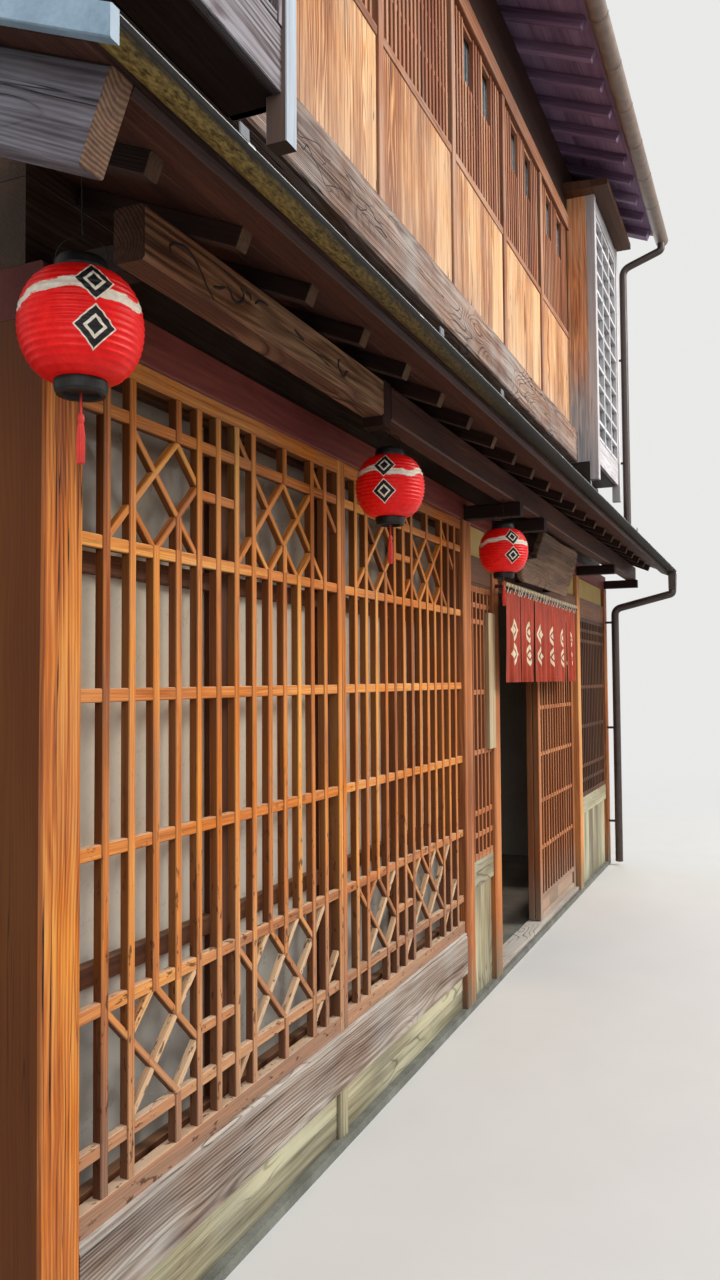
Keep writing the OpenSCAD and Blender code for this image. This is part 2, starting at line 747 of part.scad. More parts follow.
// A strip that follows a roof's slope from y0 to y1, from height a to b above the rafters' underside
module pent_strip(y0, y1, a, b) polygon([[y0, pent_under(y0) + a], [y1, pent_under(y1) + a],
    [y1, pent_under(y1) + b], [y0, pent_under(y0) + b]]);

module pent_deck() color("sienna") {
    along(pent_l, out_r) pent_strip(pent_edge_y, upper_y, pent_rafter_h, pent_cover_z);
    along(verge_x + verge_t, out_r) pent_strip(pent_edge_y, pent_edge_y + eave_board_w,
        pent_rafter_h - eave_board_t, pent_rafter_h + 1);
    n = floor((out_r - pent_rafter_w - first_rafter_x) / rafter_pitch);
    for (k = [0 : n]) {
        x = first_rafter_x + k * rafter_pitch;
        along(x, x + pent_rafter_w) pent_strip(pent_tip_y, upper_y, 0, pent_rafter_h + 1);
    }
}

module pent_roof() color("slategray")
    along(pent_l, out_r) pent_strip(pent_edge_y, upper_y, pent_cover_z, pent_top_z);

module pent_verge() color("gray") {
    along(verge_x, verge_x + verge_t)
        pent_strip(pent_tip_y - verge_tip_out, upper_y - arm_w / 2,
            pent_rafter_h - verge_h, pent_rafter_h);
    along(pent_l - verge_cap_w, pent_l)
        pent_strip(gutter_out_y, upper_y, pent_rafter_h, pent_top_z);
}

// Lower half of a circle of diameter d, for the section of a half round gutter
module half_round(d) intersection() {
    circle(d = d);
    translate([-d, -d]) square([2 * d, d]);
}

module pent_gutter() color("darkolivegreen") {
    along(pent_l, out_r) {
        translate([gutter_y, gutter_z]) difference() {
            half_round(gutter_d);
            circle(d = gutter_d - 2 * gutter_t);
        }
        translate([pent_edge_y - gutter_t, gutter_z - gutter_d / 4]) square([gutter_t, gutter_d / 2]);
    }
    for (x = [pent_l, out_r - gutter_t]) along(x, x + gutter_t)
        translate([gutter_y, gutter_z]) half_round(gutter_d);
}

// Clips that hold a downpipe to the wall behind it
module pipe_clips(x, y0, y1, heights) for (z = heights)
    block([x - pipe_d / 12, y0, z], [x + pipe_d / 12, y1, z + clip_h]);

module downpipes() color("dimgray") {
    lower_y = face_y - pipe_d / 2 - pipe_out;
    hopper_z = gutter_z - hopper_h;
    low_bend = hopper_z - pipe_d / 2;
    pipe([[lower_pipe_x, gutter_y, hopper_z + 1], [lower_pipe_x, gutter_y, low_bend],
        [lower_pipe_x, lower_y, low_bend - pipe_bend_h], [lower_pipe_x, lower_y, footing_h]], pipe_d);
    difference() {
        block([lower_pipe_x - hopper_w / 2, gutter_out_y - gutter_t, hopper_z],
            [lower_pipe_x + hopper_w / 2, pent_edge_y, gutter_z - gutter_d / 4]);
        translate([lower_pipe_x - hopper_w, gutter_y, gutter_z]) rotate([0, 90, 0])
            cylinder(d = gutter_d, h = 2 * hopper_w);
    }
    pipe_clips(lower_pipe_x, lower_y, face_y, [lintel_z - sign_h / 5, side_rail_z]);
    upper_pipe_y = box_y - 0.6 * pipe_d;
    high_bend = main_gutter_z - main_gutter_d;
    foot_z = pent_under(upper_pipe_y) + pent_top_z;
    difference() {
        pipe([[upper_pipe_x, main_gutter_y, main_gutter_z - main_gutter_d / 3],
            [upper_pipe_x, main_gutter_y, high_bend],
            [upper_pipe_x, upper_pipe_y, high_bend - pipe_bend_h],
            [upper_pipe_x, upper_pipe_y, foot_z - pipe_d / 2]], pipe_d);
        translate([upper_pipe_x - pipe_d, main_gutter_y, main_gutter_z]) rotate([0, 90, 0])
            cylinder(d = main_gutter_d, h = 2 * pipe_d);
        along(upper_pipe_x - pipe_d, upper_pipe_x + pipe_d)
            pent_strip(upper_pipe_y - pipe_d, upper_pipe_y + pipe_d, 0, pent_top_z);
    }
    pipe_clips(upper_pipe_x, upper_pipe_y, upper_y, [upper_lattice_z, beam_z + box_panel_h]);
}

module upper_floor() color("burlywood")
    block([gable_l + wall_t, post_back_y, floor_z], [gable_r - wall_t, rear_y0, floor_z + floor_t]);

module upper_beam() color("tan")
    block([box_l1, face_y, beam_z], [box_r0, post_back_y, beam_top]);

// Clear bays of the upper front, between its posts
upper_bays = [for (k = [1 : 5]) [grid(k) + upper_post_w / 2, grid(k + 1) - upper_post_w / 2]];

module upper_boards() color("burlywood") {
    block([box_l1, upper_y, beam_top], [grid(1) - upper_post_w / 2, upper_y + boards_t, top_rail_z]);
    for (b = upper_bays) block([b[0], upper_y, beam_top], [b[1], upper_y + boards_t, mid_rail_z]);
}

module upper_frame() color("peru") {
    y0 = upper_y - upper_proud;
    for (k = [1 : 6]) block([grid(k) - upper_post_w / 2, k == 6 ? upper_y : y0, beam_top],
        [grid(k) + upper_post_w / 2, post_back_y, top_rail_z]);
    for (b = upper_bays) block([b[0] - 1, upper_y - upper_proud / 2, mid_rail_z],
        [min(b[1] + 1, box_r0), upper_y + mid_rail_d, upper_lattice_z]);
    block([box_l1, y0 - upper_proud / 2, top_rail_z], [box_r0, upper_y + 1, top_rail_top]);
    block([box_l1, upper_y, top_rail_z], [box_r0 + upper_post_w, post_back_y, top_rail_top]);
    for (x = [out_l, out_r - post_w])
        block([x, upper_y, beam_z], [x + post_w, post_back_y, top_rail_top]);
}

module upper_lattice() color("chocolate")
    for (i = [0 : 4]) translate([upper_bays[i][0], 0, 0]) {
        slots = i >= 2 ? [5, 6, 7, 12, 13, 14] : [];
        upright(upper_y + upper_bar_in, upper_bar_w) for (k = [1 : upper_bars_n]) {
            short = len([for (s = slots) if (s == k) s]) > 0;
            translate([k * upper_pitch - upper_bar_w, upper_lattice_z])
                square([upper_bar_w, upper_lattice_h - (short ? slot_h : 0)]);
        }
        upright(upper_y + 2.5 * upper_bar_in, upper_bar_w) for (f = [0, 0.3, 0.58, 0.97])
            translate([0, upper_lattice_z + f * upper_lattice_h])
                square([upper_bay_clear, 0.03 * upper_lattice_h]);
    }

// Left and right sides of the two boxes
boxes = [[out_l, box_l1], [box_r0, box_r1]];

module box_frames() color("peru")
    for (b = boxes) {
        for (x = [b[0], b[1] - box_post_w])
            block([x, box_y, beam_z - box_leg_h], [x + box_post_w, box_y + box_post_w, box_top]);
        for (x = [b[0], b[1] - box_board_t])
            block([x, box_y + box_post_w, beam_z], [x + box_board_t, upper_y, box_top]);
        block([b[0] + box_post_w, box_y + box_recess, beam_z],
            [b[1] - box_post_w, box_y + box_recess + box_board_t, box_lattice_z]);
        block([b[0] + box_post_w, box_y + box_recess / 2, box_lattice_top],
            [b[1] - box_post_w, box_y + box_post_w, box_top]);
        block([b[0], box_y + box_recess, beam_z], [b[1], upper_y, beam_z + box_board_t]);
    }

module box_lattices() color("lightsteelblue")
    for (b = boxes) translate([b[0] + box_post_w, 0, 0]) {
        w = b[1] - b[0] - 2 * box_post_w;
        stage = (box_lattice_top - box_lattice_z) / (box_bars[1] + 1);
        upright(box_y + box_lattice_in, bar_d + 2 * rail_recess) {
            barred(w, box_lattice_z, box_lattice_top, box_bars[0], bar_w, [], 0);
            for (x = [0, w - bar_w]) translate([x, box_lattice_z])
                square([bar_w, box_lattice_top - box_lattice_z]);
            for (z = [box_lattice_z, box_lattice_top - rail_h]) translate([0, z]) square([w, rail_h]);
        }
        upright(box_y + box_lattice_in + rail_recess, bar_d)
            for (k = [1 : box_bars[1]]) translate([0, box_lattice_z + k * stage - bar_w / 2])
                square([w, bar_w]);
    }

module box_roofs() color("sienna")
    for (b = boxes) {
        x0 = b[0] - (b[0] > 0 ? box_roof_out : 0);
        along(x0, b[1] + (b[0] > 0 ? 0 : box_roof_out)) polygon([
            [box_y - box_roof_out, box_top], [upper_y, box_top],
            [upper_y, box_top + box_roof_h + 0.1 * (box_out + box_roof_out)],
            [box_y - box_roof_out, box_top + box_roof_h]]);
    }

// A gable wall's outline in y and z, under the rafters
module gable_outline() polygon([[post_back_y, footing_h], [back_y, footing_h],
    [back_y, roof_under(-back_y)], [ridge_t / 2, ridge_z], [-ridge_t / 2, ridge_z],
    [post_back_y, roof_under(post_back_y)]]);

module left_wall() color("saddlebrown") along(gable_l, gable_l + wall_t) gable_outline();

module right_wall() color("gainsboro") along(gable_r - wall_t, gable_r) gable_outline();

// Sides of the rear windows of the ground and the upper storey
rear_lower = [[grid(1), grid(3) - post_w], [grid(5), grid(7) - post_w]];
rear_upper = [for (k = [1 : 5]) [grid(k) + upper_post_w / 2, grid(k + 1) - upper_post_w / 2]];

module rear_wall() color("saddlebrown") difference() {
    block([gable_l + wall_t, rear_y0, footing_h], [gable_r - wall_t, rear_y1, top_rail_top]);
    for (w = rear_lower) block([w[0], back_y - wall_t * 2, rear_sill_z],
        [w[1], back_y, rear_sill_z + rear_window_h]);
    for (w = rear_upper) block([w[0], back_y - wall_t * 2, top_rail_z - rear_upper_h],
        [w[1], back_y, top_rail_z]);
}

module rear_lattices() color("chocolate") {
    y0 = rear_y1 - rear_bar_w - wall_recess;
    for (w = rear_lower) translate([w[0], 0, 0]) {
        upright(y0, rear_bar_w) barred(w[1] - w[0], rear_sill_z, rear_sill_z + rear_window_h, 14,
            rear_bar_w, [], 0);
        upright(y0 + rear_rail_in, rear_bar_w - 2 * rear_rail_in) for (k = [0 : 3])
            translate([0, rear_sill_z + k * (rear_window_h - rail_h) / 3])
                square([w[1] - w[0], rail_h]);
    }
    for (w = rear_upper) translate([w[0], 0, 0]) {
        upright(y0, rear_bar_w) barred(w[1] - w[0], top_rail_z - rear_upper_h, top_rail_z, 9,
            rear_bar_w, [], 0);
        upright(y0 + rear_rail_in, rear_bar_w - 2 * rear_rail_in) for (k = [0 : 2])
            translate([0, top_rail_z - rear_upper_h + k * (rear_upper_h - rail_h) / 2])
                square([w[1] - w[0], rail_h]);
    }
}

// A wall plate's section from y0 to y1, topped by the rafters' slope
module plate_section(y0, y1) polygon([[y0, top_rail_top], [y1, top_rail_top],
    [y1, roof_under(y1)], [y0, roof_under(y0)]]);

module wall_plates() color("maroon") {
    along(out_l, out_r) plate_section(upper_y, post_back_y);
    along(gable_l + wall_t, gable_r - wall_t) mirror([1, 0]) plate_section(-rear_y1, -rear_y0);
}

// A strip that follows the main roof's slope, like pent_strip
module roof_strip(y0, y1, a, b) polygon([[y0, roof_under(y0) + a], [y1, roof_under(y1) + a],
    [y1, roof_under(y1) + b], [y0, roof_under(y0) + b]]);

// Both slopes of the roof, from one section
module both_slopes() for (m = [0, 1]) mirror([0, m, 0]) children();

module main_deck() color("saddlebrown") both_slopes() {
    along(roof_l, roof_r) roof_strip(tip_y - deck_out, -ridge_t / 2, rafter_h, rafter_h + deck_t);
    for (x = [gable_l, gable_r - wall_t])
        along(x, x + wall_t) roof_strip(tip_y, -ridge_t / 2, 0, rafter_h + 1);
    clear = gable_r - gable_l - 2 * wall_t;
    n = round(clear / rafter_pitch) - 1;
    gap = (clear - n * rafter_w) / (n + 1);
    for (k = [1 : n]) {
        x = gable_l + wall_t + k * (gap + rafter_w) - rafter_w;
        along(x, x + rafter_w) roof_strip(tip_y, -ridge_t / 2, 0, rafter_h + 1);
    }
    along(roof_l, roof_l + rafter_w) roof_strip(tip_y, -ridge_t / 2, 0, rafter_h + 1);
}

module main_roof() color("darkslategray") both_slopes()
    along(roof_l - verge_tile_out, roof_r)
        roof_strip(edge_y, -ridge_t / 2, rafter_h + deck_t, rafter_h + deck_t + tile_t);

module ridge() color("darkslategray") {
    top = roof_under(0) + rafter_h + deck_t + tile_t;
    seat = top - slope * ridge_w / 2;
    along(roof_l - verge_tile_out, roof_r) {
        polygon([[-ridge_w / 2, seat], [-ridge_t / 2, top - slope * ridge_t / 2],
            [-ridge_t / 2, ridge_z], [ridge_t / 2, ridge_z],
            [ridge_t / 2, top - slope * ridge_t / 2], [ridge_w / 2, seat],
            [ridge_w / 2, top + ridge_h - ridge_cap_h], [-ridge_w / 2, top + ridge_h - ridge_cap_h]]);
        translate([0, top + ridge_h - ridge_cap_h]) intersection() {
            circle(d = ridge_w * 0.8);
            translate([-ridge_w, -1]) square([2 * ridge_w, ridge_w]);
        }
    }
}

module main_gutter() color("rosybrown") {
    back = main_gutter_y + main_gutter_d / 2;
    along(roof_l - verge_tile_out, roof_r) difference() {
        translate([main_gutter_y, main_gutter_z]) half_round(main_gutter_d);
        translate([main_gutter_y, main_gutter_z]) circle(d = main_gutter_d - 2 * gutter_t);
    }
    n = floor((roof_r - roof_l) / half_ken);
    for (k = [0 : n]) {
        x = roof_l + hook_d + k * half_ken;
        along(x, x + 3 * hook_d) polygon([[back - gutter_t, main_gutter_z], [back, main_gutter_z],
            [back, roof_under(back) + rafter_h + deck_t],
            [back - gutter_t, roof_under(back - gutter_t) + rafter_h + deck_t]]);
    }
}

// Outline of a lantern's paper body: ribs that follow a squat oval
ribs = 14;
function lantern_r(t) = lantern_cap_d / 2
    + (lantern_d - lantern_cap_d) / 2 * pow(max(0, 1 - t * t), 0.5);
lantern_outline = [for (i = [0 : 2 * ribs])
    let (t = -1 + i / ribs) [lantern_r(t) - (i % 2 == 0 ? 2 : 0), t * lantern_h / 2]];

module lantern_body() rotate_extrude($fn = 48)
    polygon(concat([[0, -lantern_h / 2]], lantern_outline, [[0, lantern_h / 2]]));

module lanterns() color("red") {
    for (i = [0 : len(lantern_xs) - 1]) {
        cap_z = purlin_z - hook_ls[i];
        translate([x_l + lantern_xs[i], lantern_y, cap_z - lantern_cap_h - lantern_h / 2]) {
            lantern_body();
            for (s = [-1, 1]) translate([0, 0, s * (lantern_h + lantern_cap_h) / 2])
                cylinder(d = lantern_cap_d, h = lantern_cap_h + 2, center = true);
            translate([0, 0, -lantern_h / 2 - lantern_cap_h - tassel_l])
                cylinder(d = tassel_d, h = tassel_l + 2);
        }
        if (i > 0) translate([x_l + lantern_xs[i], lantern_y, cap_z - 1])
            cylinder(d = hook_d, h = hook_ls[i] + 1);
    }
    // The first lantern's wire rises past the purlin's end to a rafter
    difference() {
        translate([x_l + lantern_xs[0], lantern_y, purlin_z - hook_ls[0] - 1])
            cylinder(d = hook_d, h = hook_ls[0] + purlin_h + purlin_w);
        along(first_rafter_x - hook_d, first_rafter_x + pent_rafter_w + hook_d)
            pent_strip(purlin_y, purlin_y + purlin_w, 0, purlin_h + purlin_w);
    }
}

foundation();
earth_floor();
front_posts();
front_sill();
kickboards();
lattice_left();
lattice_right();
window_sashes();
glass();
head_beam();
entry_lintel();
entry_plaster();
threshold();
entry_lattices();
door_outer();
door_inner();
sign_boards();
curtain_rod();
noren();
spandrel_wall();
pent_arms();
pent_purlin();
pent_deck();
pent_roof();
pent_verge();
pent_gutter();
downpipes();
upper_floor();
upper_beam();
upper_boards();
upper_frame();
upper_lattice();
box_frames();
box_lattices();
box_roofs();
left_wall();
right_wall();
rear_wall();
rear_lattices();
wall_plates();
main_deck();
main_roof();
ridge();
main_gutter();
lanterns();
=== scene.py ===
"""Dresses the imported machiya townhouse: worn timber, clay tiles, paper lanterns and a cloth curtain.

Every length is in metres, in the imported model's own frame: X along the front, Y into the house, Z up.
Sizes repeat the named values of the part's source. A stretch is a pair of numbers, from low to high.
"""
import math
import random

import bpy
import numpy as np
from mathutils import Matrix, Vector


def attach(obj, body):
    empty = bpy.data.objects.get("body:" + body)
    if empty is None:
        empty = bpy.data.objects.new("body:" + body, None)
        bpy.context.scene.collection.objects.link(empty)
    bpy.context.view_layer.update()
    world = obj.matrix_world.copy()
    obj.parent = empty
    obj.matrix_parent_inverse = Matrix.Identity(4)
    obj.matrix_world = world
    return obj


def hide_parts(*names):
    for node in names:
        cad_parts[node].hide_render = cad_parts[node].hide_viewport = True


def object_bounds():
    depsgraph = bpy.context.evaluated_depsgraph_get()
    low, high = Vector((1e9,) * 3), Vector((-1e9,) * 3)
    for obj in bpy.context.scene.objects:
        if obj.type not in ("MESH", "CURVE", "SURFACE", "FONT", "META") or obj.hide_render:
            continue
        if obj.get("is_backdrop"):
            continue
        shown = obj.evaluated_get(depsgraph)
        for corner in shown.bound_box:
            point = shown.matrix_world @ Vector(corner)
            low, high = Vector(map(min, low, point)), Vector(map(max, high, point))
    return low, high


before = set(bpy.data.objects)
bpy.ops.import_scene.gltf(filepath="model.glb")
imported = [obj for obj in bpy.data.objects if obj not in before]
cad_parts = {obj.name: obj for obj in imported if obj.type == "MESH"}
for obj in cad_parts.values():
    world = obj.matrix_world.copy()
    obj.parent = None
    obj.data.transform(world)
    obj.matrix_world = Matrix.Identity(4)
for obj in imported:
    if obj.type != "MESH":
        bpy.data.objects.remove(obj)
cad_low, cad_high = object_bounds()
HOUSE, OUTER, INNER = "house", "door_outer", "door_inner"
TURN, BOARD_GAP = 2 * math.pi, 0.0015


def about(middle, size):
    """The stretch of that size round a middle."""
    return middle - size / 2, middle + size / 2


def run(start, size):
    """The stretch of that size from a start."""
    return start, start + size


# Sizes shared with the solids.
HALF_KEN, END_BAY, POST = 0.909, 1.060, 0.120
HOUSE_W, DEPTH = 6 * HALF_KEN + END_BAY, 8 * HALF_KEN
X_L, X_R = -HOUSE_W / 2, HOUSE_W / 2
OUT_L, OUT_R = X_L - POST / 2, X_R + POST / 2
FRONT = (OUT_L, OUT_R)
FACE = -DEPTH / 2 - POST / 2
BACK = -FACE
POST_BACK = FACE + POST
WALL = (FACE, POST_BACK)
LATTICE = FACE + 0.012
UPPER = LATTICE + 0.038
FOOTING = 0.030
SILL, SILL_TOP, SILL_EDGE = 0.186, 0.366, 0.354
FRAME_LOW, FRAME_TOP = 0.051, 0.045
RAIL, BAND, STAGE, STRIP_LOW, STRIP_TOP = 0.030, 0.261, 0.300, 0.085, 0.074
RAIL_1 = SILL_TOP + FRAME_LOW + STRIP_LOW
RAIL_2 = RAIL_1 + RAIL + BAND
RAIL_3 = RAIL_2 + RAIL + STAGE
RAIL_4 = RAIL_3 + RAIL + STAGE
RAIL_5 = RAIL_4 + RAIL + STAGE
RAIL_6 = RAIL_5 + RAIL + BAND
FRAME_TOP_Z = RAIL_6 + RAIL + STRIP_TOP
HEAD = FRAME_TOP_Z + FRAME_TOP
HEAD_TOP = HEAD + 0.108
BAR, SLIM_BAR = 0.024, 0.018
MULLION = 0.060
PANEL = (3 * HALF_KEN - POST) / 2
PITCH = HALF_KEN / 10
MARGIN = (PANEL - MULLION / 2 - 12 * PITCH) / 2
X_JAMB = X_L + 3 * HALF_KEN + 0.473
JAMB, DOOR_POST = 0.110, 0.100
X_DOOR_POST = X_JAMB + 2.170
ENTRY = ENTRY_L, ENTRY_R = X_JAMB + JAMB / 2, X_DOOR_POST - DOOR_POST / 2
THRESHOLD, TRACK = 0.020, 0.012
LINTEL, LINTEL_TOP = HEAD - 0.283, HEAD - 0.143
SIDE_RAIL, SIDE_LATTICE = 0.530, 0.648
SLOPE = 0.42
COS = math.cos(math.atan(SLOPE))
PENT_TIP_Y, PENT_TIP_Z = LATTICE - 0.375, HEAD + 0.122
PENT_L = X_L - POST / 2 - 0.490
PENT_EDGE = PENT_TIP_Y - 0.138
PURLIN_Y, PURLIN_H = LATTICE - 0.250, 0.108
PURLIN = run(PURLIN_Y, 0.072)
STRUT = X_L + 1.130
BEAM = HEAD_TOP + 0.719
BEAM_TOP = BEAM + 0.230
MID_RAIL = BEAM_TOP + 0.670
UPPER_LATTICE = MID_RAIL + 0.040
TOP_RAIL = UPPER_LATTICE + 0.760
TOP_RAIL_TOP = TOP_RAIL + 0.100
UPPER_POST = 0.050
BOX_Y, BOX_POST, BOX_WALL = UPPER - 0.200, 0.062, 0.026
BOX_TOP = TOP_RAIL_TOP + 0.135
BOX_OPENING = BOX_SILL, BOX_HEAD = BEAM + 0.178, BOX_TOP - 0.100
WALL_IN, WALL_OUT = 0.105, 0.015
INSIDE = (OUT_L + WALL_IN, OUT_R - WALL_IN)
REAR = (BACK - WALL_IN, BACK - WALL_OUT)
REAR_LOW, REAR_HIGH = (0.900, 1.900), (TOP_RAIL - 0.700, TOP_RAIL)
EAVE_Z = TOP_RAIL_TOP + 0.205
TIP_Y = UPPER - 0.458
EDGE_Y = TIP_Y - 0.070
ROOF_L, ROOF_R, ROOF_T = OUT_L - 0.420, OUT_R + 0.020, 0.082
VERGE_L = ROOF_L - 0.030


def grid(k):
    """The place of the front's post line number k."""
    return X_L + k * HALF_KEN


def pent_under(y):
    """The height of the pent roof's underside."""
    return PENT_TIP_Z + SLOPE * (y - PENT_TIP_Y)


def roof_under(y):
    """The height of the main roof's underside, in front of the ridge."""
    return EAVE_Z + SLOPE * (y - TIP_Y)


PURLIN_Z = pent_under(PURLIN_Y) - PURLIN_H
WINDOW = (X_L + POST / 2, grid(3) - POST / 2)
SIDE_BAYS = ((grid(3) + POST / 2, X_JAMB - JAMB / 2), (X_DOOR_POST + DOOR_POST / 2, X_R - POST / 2))
BAYS = [(grid(k) + UPPER_POST / 2, grid(k + 1) - UPPER_POST / 2) for k in range(1, 6)]
BOXES = ((OUT_L, X_L + 0.740), (grid(6) - UPPER_POST / 2, X_R - 0.044))
MIDDLE = (BOXES[0][1], BOXES[1][0])
REAR_LOWER = ((grid(1), grid(3) - POST), (grid(5), grid(7) - POST))

MATERIALS = {}


# Shader helper.
def linear(colour, scale=1.0, lift=0.0):
    """A hex display colour, made darker or brighter, as the linear one that a shader takes."""
    parts = [min(255, int(colour[k:k + 2], 16) * scale + lift) for k in (0, 2, 4)]
    return tuple(((c / 255 + 0.055) / 1.055) ** 2.4 if c > 10 else c / 255 / 12.92 for c in parts) + (1.0,)


class Value:
    """An output of a node. Arithmetic with it adds the nodes that work it out."""

    def __init__(self, shader, socket):
        self.shader, self.socket = shader, socket

    def __add__(self, other):
        return self.shader.math("ADD", self, other)

    def __sub__(self, other):
        return self.shader.math("SUBTRACT", self, other)

    def __mul__(self, other):
        return self.shader.math("MULTIPLY", self, other)

    def __abs__(self):
        return self.shader.math("ABSOLUTE", self, 0.0)


class Shader:
    """A node tree, written one value a line. Inputs are numbers, hex colours or values."""

    def __init__(self, name, owner=None):
        self.name, self.owner = name, owner or bpy.data.materials.new(name)
        self.owner.use_nodes = True
        self.tree = self.owner.node_tree
        self.tree.nodes.clear()

    def node(self, kind, inputs, output=0, **settings):
        """Adds a node and gives one of its outputs."""
        made = self.tree.nodes.new("ShaderNode" + kind)
        for key, value in settings.items():
            setattr(made, key, value)
        for key, value in inputs.items():
            if isinstance(value, Value):
                self.tree.links.new(value.socket, made.inputs[key])
            else:
                made.inputs[key].default_value = linear(value) if isinstance(value, str) else value
        return Value(self, made.outputs[output]) if made.outputs else None

    def read(self, name, output="Fac"):
        """A named value of the mesh's points or faces."""
        return self.node("Attribute", {}, output, attribute_name=name)

    def place(self):
        """The point in the object's own frame."""
        return self.node("TexCoord", {}, "Object")

    def split(self, vector):
        return [Value(self, part) for part in self.node("SeparateXYZ", {0: vector}).socket.node.outputs]

    def scaled(self, vector, scale):
        return self.node("VectorMath", {0: vector, 1: scale}, operation="MULTIPLY")

    def math(self, operation, a, b=0.0, clamp=False):
        return self.node("Math", {0: a, 1: b}, operation=operation, use_clamp=clamp)

    def noise(self, vector, scale, detail=3.0, rough=0.5, output=0):
        """Noise at one scale, or at one for each axis."""
        if isinstance(scale, tuple):
            vector, scale = self.scaled(vector, scale), 1.0
        inputs = {"Vector": vector, "Scale": scale, "Detail": detail, "Roughness": rough}
        return self.node("TexNoise", inputs, output)

    def span(self, value, low, high, to_low=0.0, to_high=1.0):
        """Carries value from low..high to to_low..to_high, and holds it at the ends."""
        return self.node("MapRange", {"Value": value, 1: low, 2: high, 3: to_low, 4: to_high}, clamp=True)

    def ramp(self, value, low, high, *colours, middle=0.5):
        """Carries value from low..high through two or three colours."""
        made = self.node("ValToRGB", {"Fac": self.span(value, low, high)})
        stops = (0.0, 1.0) if len(colours) == 2 else (0.0, middle, 1.0)
        elements = made.socket.node.color_ramp.elements
        while len(elements) < len(stops):
            elements.new(middle)
        for element, at, colour in zip(elements, stops, colours):
            element.position, element.color = at, linear(colour)
        return made

    def mix(self, factor, a, b):
        return self.node("Mix", {"Factor": factor, 6: a, 7: b}, 2, data_type="RGBA")

    def finish(self, colour, roughness, height, relief, **constants):
        """Ends a material with one surface, its relief that deep, and keeps it by its name."""
        normal = self.node("Bump", {"Height": height, "Distance": relief, "Strength": 1.0})
        inputs = {"Base Color": colour, "Roughness": roughness, "Normal": normal}
        inputs.update((key.replace("_", " "), value) for key, value in constants.items())
        self.node("OutputMaterial", {0: self.node("BsdfPrincipled", inputs)})
        MATERIALS[self.name] = self.owner


